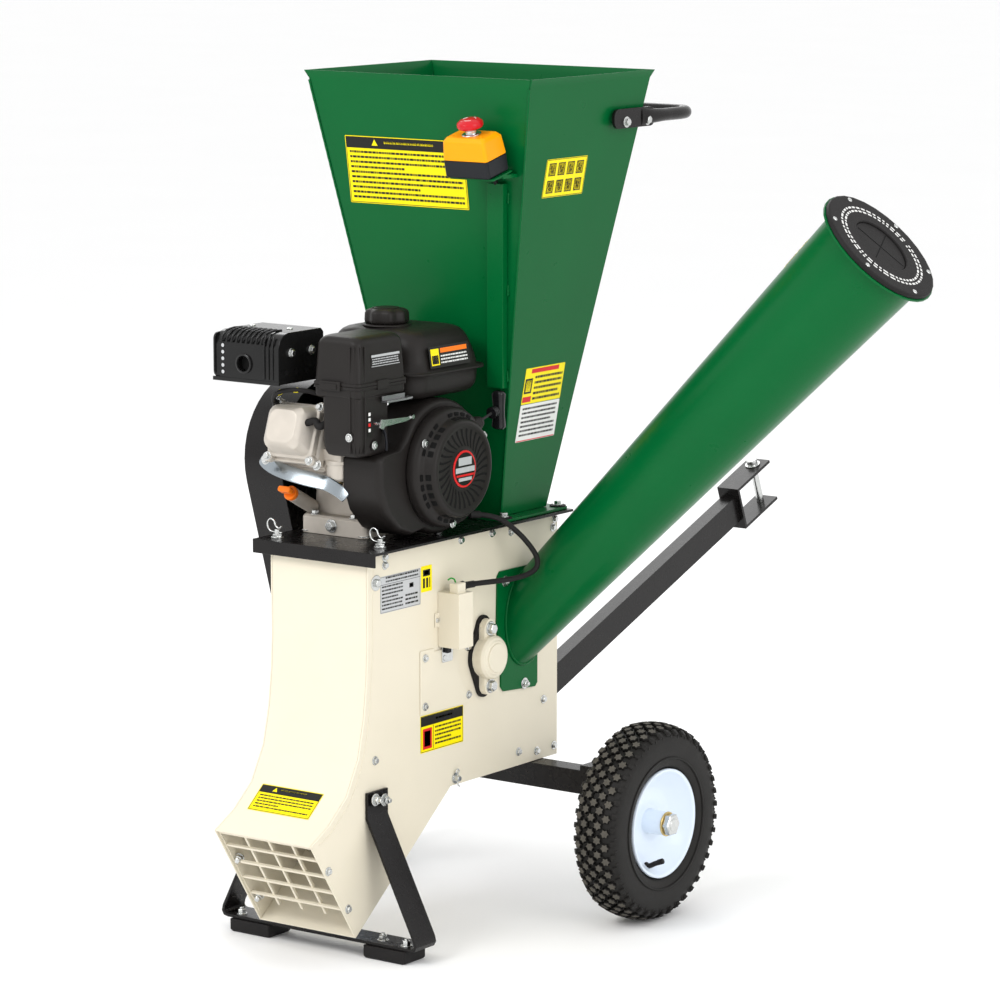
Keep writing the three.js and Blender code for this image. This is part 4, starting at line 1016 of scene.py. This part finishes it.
def cylinder():
    """Fins, and the bolts of the head and the valve cover."""
    fins = Shape()
    for y in range(-146, -92, 8):
        fins.add(prism(rounded(-47, 47, -50, 48, 8, 3), -y - 1.1, -y + 1.1),
                 TILT @ axes((0, 0, 0), (1, 0, 0), (0, 0, 1)))
    fins.piece("cylinder_fins", CAST, bevel=0.3)
    turn = TILT.to_3x3()
    way = turn @ Vector((0, -1, 0))
    flange = [TILT @ Vector((x, -173, z)) for x in (-50, 48) for z in (-44, 46)]
    many("head_bolts", bolt, flange, way, radius=6, height=5, washer=8)
    cover = [TILT @ Vector((x, -180, z)) for x in (-40, 40) for z in (-40, 42)]
    seat = Shape()
    for at in cover:
        seat.add(lathe([(8, -6), (8, 3), (7, 4)], 24), facing(at, way))
    seat.piece("valve_cover_bosses", CAST, bevel=0.3)
    many("valve_cover_bolts", bolt, [at + way * 4 for at in cover], way, radius=5, height=4.4, washer=6.8)


def hoses():
    """The breather hose, and the spark plug's boot and lead."""
    hose = Shape()
    hose.add(sweep(curve([TILT @ Vector((34, -200, 14)), TILT @ Vector((50, -200, 18)), (10, -150, 800),
                          (18, -138, 806), (26, -130, 808)], 6), 5.6, 14))
    hose.piece("breather_hose", RUBBER)
    lead = Shape()
    lead.add(sweep(curve([(-88, -128, 812), (-80, -146, 836), (-55, -152, 849), (-22, -140, 850),
                          (6, -112, 838), (24, -70, 822)], 6), 3.6, 12))
    lead.piece("spark_lead", RUBBER)
    boot = Shape()
    boot.add(sweep([(-90, -118, 796), (-89, -123, 805), (-86, -131, 818), (-82, -141, 830)],
                   [(8, 8), (8.4, 8.4), (7, 7), (5, 5)], 16))
    boot.piece("spark_plug_boot", RUBBER, bevel=0.5)
    marks = Shape()
    for a, b in (((-70, -149.6, 843.5), (-62, -151, 847)), ((-40, -147.6, 850.6), (-33, -145.4, 850.9))):
        marks.add(sweep([a, b], 3.9, 12))
    marks.piece("spark_lead_marks", YELLOW, slot="black_rubber")


def carburettor():
    """The carburettor's bowl and body, the heat shield in front of it and the fuel valve's lever."""
    bowl = Shape()
    at = facing((11, -104, 0), (0, 0, 1))
    cup = [(9, 712), (16, 714), (19, 718), (19.6, 738), (21.5, 740), (21.5, 745), (18, 746)]
    bowl.add(lathe(cup, 40), at)
    bowl.add(cuboid(-6, 28, -122, -86, 744, 762))
    bowl.piece("carburettor", CAST, bevel=1.2)
    plug = [(11, -104, 712)]
    many("carburettor_plug", bolt, plug, (0, 0, -1), material=BRASS, radius=6, height=5, washer=9)
    shield = Shape()
    strip = [(-134, -104, 741), (-122, -119, 735), (-96, -130, 728), (-60, -137, 722), (-20, -135, 716),
             (6, -131, 712), (24, -124, 702), (34, -117, 690)]
    path = curve(strip, 6)
    last = len(path) - 1
    sizes = [(0.9, 4 + 8 * math.sin(math.pi * (0.08 + 0.84 * k / last)) ** 0.5) for k in range(last + 1)]
    shield.add(sweep(path, sizes, 14, first=(0, -1, 0.35)))
    shield.piece("heat_shield", SHIELD, slot="bare_steel")
    lever = Shape()
    lever.add(sweep([(88, -97, 798), (94, -98, 790), (96, -98, 778), (96, -98, 766)], [(2.2, 5)] * 4, 12))
    lever.piece("fuel_valve_lever", NYLON, bevel=0.4)


def engine_base():
    """Bolts of the feet and the crankcase, the drain plug and the dipstick's wing."""
    feet = [(-88, -56, 622), (20, -56, 622), (-88, 104, 622), (58, 79, 619.3)]
    many("engine_feet_bolts", bolt, feet, (0, 0, 1), radius=7, height=6.4, washer=10, thread=8)
    many("drain_plug", bolt, [(-36, -64.6, 634)], (0, -1, 0), radius=8, height=6, washer=10.5)
    at = [(-72, -58, 648.4), (2, -58, 648.4)]
    many("crankcase_bolts", bolt, at, (0, 0, 1), radius=6, height=5, washer=8)
    stick = Shape()
    way = Vector((0, -0.883, 0.469))
    turn = facing(Vector((-84.7, -100, 683.7)) + way * 11, way)
    stick.add(rings([[(u * k, v * k, z) for u, v in rounded(-12, 12, -4.4, 4.4, 3.6)]
                     for z, k in ((-2, 0.9), (0, 1), (9, 1), (11, 0.88))]), turn)
    stick.piece("dipstick_wing", ORANGE, "dipstick")


def engine():
    fan_housing()
    recoil()
    starter()
    tank()
    air_cleaner()
    muffler_guard()
    cylinder()
    hoses()
    carburettor()
    engine_base()


# ---- hopper, chute and switch ----


def handle():
    """A round tube with flattened ends, bolted to both sides of the hopper."""
    tube = Shape()
    side = 211
    height = 1237
    half = [(side, 400), (side, 424), (side, 470), (side, 506), (side - 4, 528), (side - 18, 545),
            (side - 40, 550), (60, 550)]
    path = curve([(x, y, height) for x, y in [*half, *[(-x, y) for x, y in reversed(half)]]], 4)
    ends = 7
    sizes = [(10, 10)] * len(path)
    for k in range(ends):
        flat = (3.2 + 6.8 * k / ends, 15 - 5 * k / ends)
        sizes[k] = sizes[-1 - k] = flat
    tube.add(sweep(path, sizes, 20, first=(1, 0, 0)))
    for s in (1, -1):
        tube.add(prism(rounded(326, 436, 1222, 1252, 12, 6), s * 207.6, s * 212.4), ACROSS)
    tube.piece("hopper_grip", BLACK, bevel=0.9, stands_for=["hopper_handle"])
    for side, name in SIDES:
        at = [(side * 212.5, 358, 1231.6), (side * 212.5, 415, 1232.2)]
        many(f"handle_bolts_{name}", bolt, at, (side, 0, 0), radius=6, height=4.6, washer=8.6)


def hopper_details():
    """Welds of the cable channel and the corner seams, and the bolts of the base flange."""
    welds = Shape()
    for z in (850, 985, 1128):
        y = HOPPER_FRONT - HOPPER_LEANS * (z - HOPPER_FOOT) / HOPPER_RISE
        left = 88.5 + 35.5 * (z - 831) / 319
        for x in (left - 1, left + 31):
            line = [(x, y - 0.5, z + d) for d in range(-9, 10, 3)]
            welds.add(sweep(line, [(1.6 + 0.7 * (j % 2), 2.4) for j in range(len(line))], 8))
    for s in (1, -1):
        seam = []
        for j in range(90):
            k = j / 89
            x = HOPPER_HALF_WIDTH + HOPPER_WIDENS * k - 1.2
            seam.append((s * x, HOPPER_FRONT - HOPPER_LEANS * k - 0.6, 628 + 666 * k))
        welds.add(sweep(seam, [(1.5 + 0.25 * (j % 2), 1.5) for j in range(90)], 8))
    welds.piece("hopper_welds", GREEN)
    corners = [(x, y, 623.6) for x in (-97, 97) for y in (196, 340)]
    shape = Shape()
    for k, at in enumerate(corners):
        shape.add(lathe([(13, 0), (13, 2), (12, 2.6)], 32), facing(at, (0, 0, 1)), 1)
        bolt(shape, (at[0], at[1], at[2] + 2.4), (0, 0, 1), radius=6, height=5, washer=8, roll=20 * k)
    shape.piece("hopper_base_bolts", [ZINC, RUBBER], bevel=0.2)


CHUTE_AT = Vector((93.2, 253.9, 453.7))
CHUTE_WAY = Vector((0.7002, 0.0586, 0.7115))
CHUTE = facing(CHUTE_AT, CHUTE_WAY)


def chute_radius(along):
    """The tube's radius at a distance from its foot."""
    return 53 + 33.8 * along / 866


def polar(radius, angle, along):
    """A point round the Z axis."""
    return (radius * math.cos(angle), radius * math.sin(angle), along)


def chute_label():
    """A label bent round the tube. A mark is (start, end, from, to, lift, ink), with angles in radians."""
    local = CHUTE.to_3x3().inverted() @ Vector((-0.66, -0.25, 0.66))
    centre = math.atan2(local.y, local.x)
    marks = ((742, 800, -0.30, 0.16, 0.5, 0), (744, 798, -0.28, -0.24, 0.8, 1),
             (746, 770, -0.2, 0.12, 0.8, 1), (776, 780, -0.2, 0.12, 0.8, 1),
             (785, 788, -0.2, 0.06, 0.8, 1), (792, 795, -0.2, 0.12, 0.8, 1))
    plate = Shape()
    for s0, s1, a0, a1, lift, mark in marks:
        section = ((s0, -0.3), (s1, -0.3), (s1, lift), (s0, lift))
        corner = [(chute_radius(s) + h, s) for s, h in section]
        turns = [centre + a0 + (a1 - a0) * j / 8 for j in range(9)]
        plate.add(rings([[polar(r, t, s) for r, s in corner] for t in turns]), CHUTE, mark)
    plate.piece("chute_label", [YELLOW, INK], slot="green_paint")


def mouth_details():
    """Screws and a plain ring of marks on the mouth guard, and the slits of the flap as thin near-black
    sheets, which are painted shade in the slits.
    """
    screws = Shape()
    for k in range(6):
        at = CHUTE @ Vector(polar(91, 2 * math.pi * (k + 0.3) / 6, 872.6))
        screw(screws, at, CHUTE_WAY, radius=4, roll=33 * k)
    screws.piece("guard_screws", ZINC, bevel=0.2)
    ring = Shape()
    dice = random.Random(12)
    angle = 0.0
    while angle < 2 * math.pi - 0.1:
        end = angle + dice.uniform(0.05, 0.13)
        for inner in (67, 74):
            corners = ((inner, angle), (inner + 3.4, angle), (inner + 3.4, end), (inner, end))
            ring.add(prism([polar(r, t, 0)[:2] for r, t in corners], 872.9, 873.25), CHUTE)
        angle = end + 0.05
    ring.piece("guard_marks", WHITE, slot="black_rubber")
    # Near-black sheets on the flap: painted shade in the slits.
    slit = Shape()
    for t in (0.4, 0.4 + math.pi / 2):
        slit.add(prism(rounded(-44, 44, -0.8, 0.8, 0.7, 2), 869.6, 870.4),
                 CHUTE @ Matrix.Rotation(t, 4, "Z"))
    slit.piece("flap_slits", SOOT_AND_HOLE_SHADE, slot="black_rubber")


def chute_foot():
    """The bolts of the base plate, and the weld round the tube where it meets the plate."""
    at = [(96.5, 251.6, 353.8), (96.5, 201, 523.5), (96.5, 283, 531), (96.5, 303, 444)]
    many("chute_bolts", bolt, at, (1, 0, 0), radius=6, height=4.8, washer=9, thread=3)
    line = []
    for k in range(70):
        t = 2 * math.pi * k / 69
        p = CHUTE @ Vector(polar(chute_radius(0), t, 0))
        p = CHUTE @ Vector(polar(chute_radius((97.6 - p.x) / CHUTE_WAY.x), t, 0))
        line.append(p + CHUTE_WAY * ((97.4 - p.x) / CHUTE_WAY.x))
    bead = Shape().add(sweep(line, [(2.3 + 0.5 * (k % 2), 2.3) for k in range(70)], 8))
    bead.piece("chute_weld", GREEN)


def stop_switch():
    """Lid screws, the gland under the box, and the stop button's collar and arcs."""
    lean = Matrix.Translation((130, 58, 1160)) @ Matrix.Rotation(math.radians(14), 4, "X")
    screws = Shape()
    head = lathe([(3.4, 61.4), (3.4, 62.2), (2.8, 62.6)], 20)
    for x in (-27, 27):
        for y in (13, 41):
            screws.add(head, lean @ Matrix.Translation((x, y, 0)))
            screws.add(cuboid(x - 2.2, x + 2.2, y - 0.5, y + 0.5, 62.4, 62.9), lean)
    screws.piece("switch_lid_screws", AMBER)
    collar = Shape()
    centre = lean @ Matrix.Translation((0, 27, 0))
    collar.add(lathe([(15, 61.8), (15, 63), (13.6, 63.8), (9.8, 63.9)], 40), centre)
    collar.piece("stop_collar", CHROME, slot="zinc_plate")
    arcs = Shape()
    for start in (0.3, 2.4, 4.5):
        line = [(10 * math.cos(start + 0.12 * k), 10 * math.sin(start + 0.12 * k), 85.7) for k in range(10)]
        arcs.add(sweep(line, 0.55, 6), centre)
    arcs.piece("stop_arrows", WHITE, "stop_knob", slot="red_plastic")
    gland = Shape()
    gland.add(lathe([(8, 0), (8, 5), (6.4, 7), (5.6, 10)], 8), facing((139, 108, 1166), (0, 0.6, -1)))
    lead = [(139, 111, 1161), (139, 116, 1154), (139, 121, 1146), (139, 122.4, 1136)]
    gland.add(sweep(curve(lead, 5), 3.4, 12))
    gland.piece("switch_gland", RUBBER, bevel=0.3)


def main():
    """The camera and the cable come first."""
    camera()
    studio()
    stop_cable()
    for side, name in SIDES:
        tyre(side, name)
        rim(side, name)
    dress_all()
    labels()
    body_details()
    foot_details()
    engine()
    handle()
    hopper_details()
    chute_label()
    mouth_details()
    chute_foot()
    stop_switch()


main()
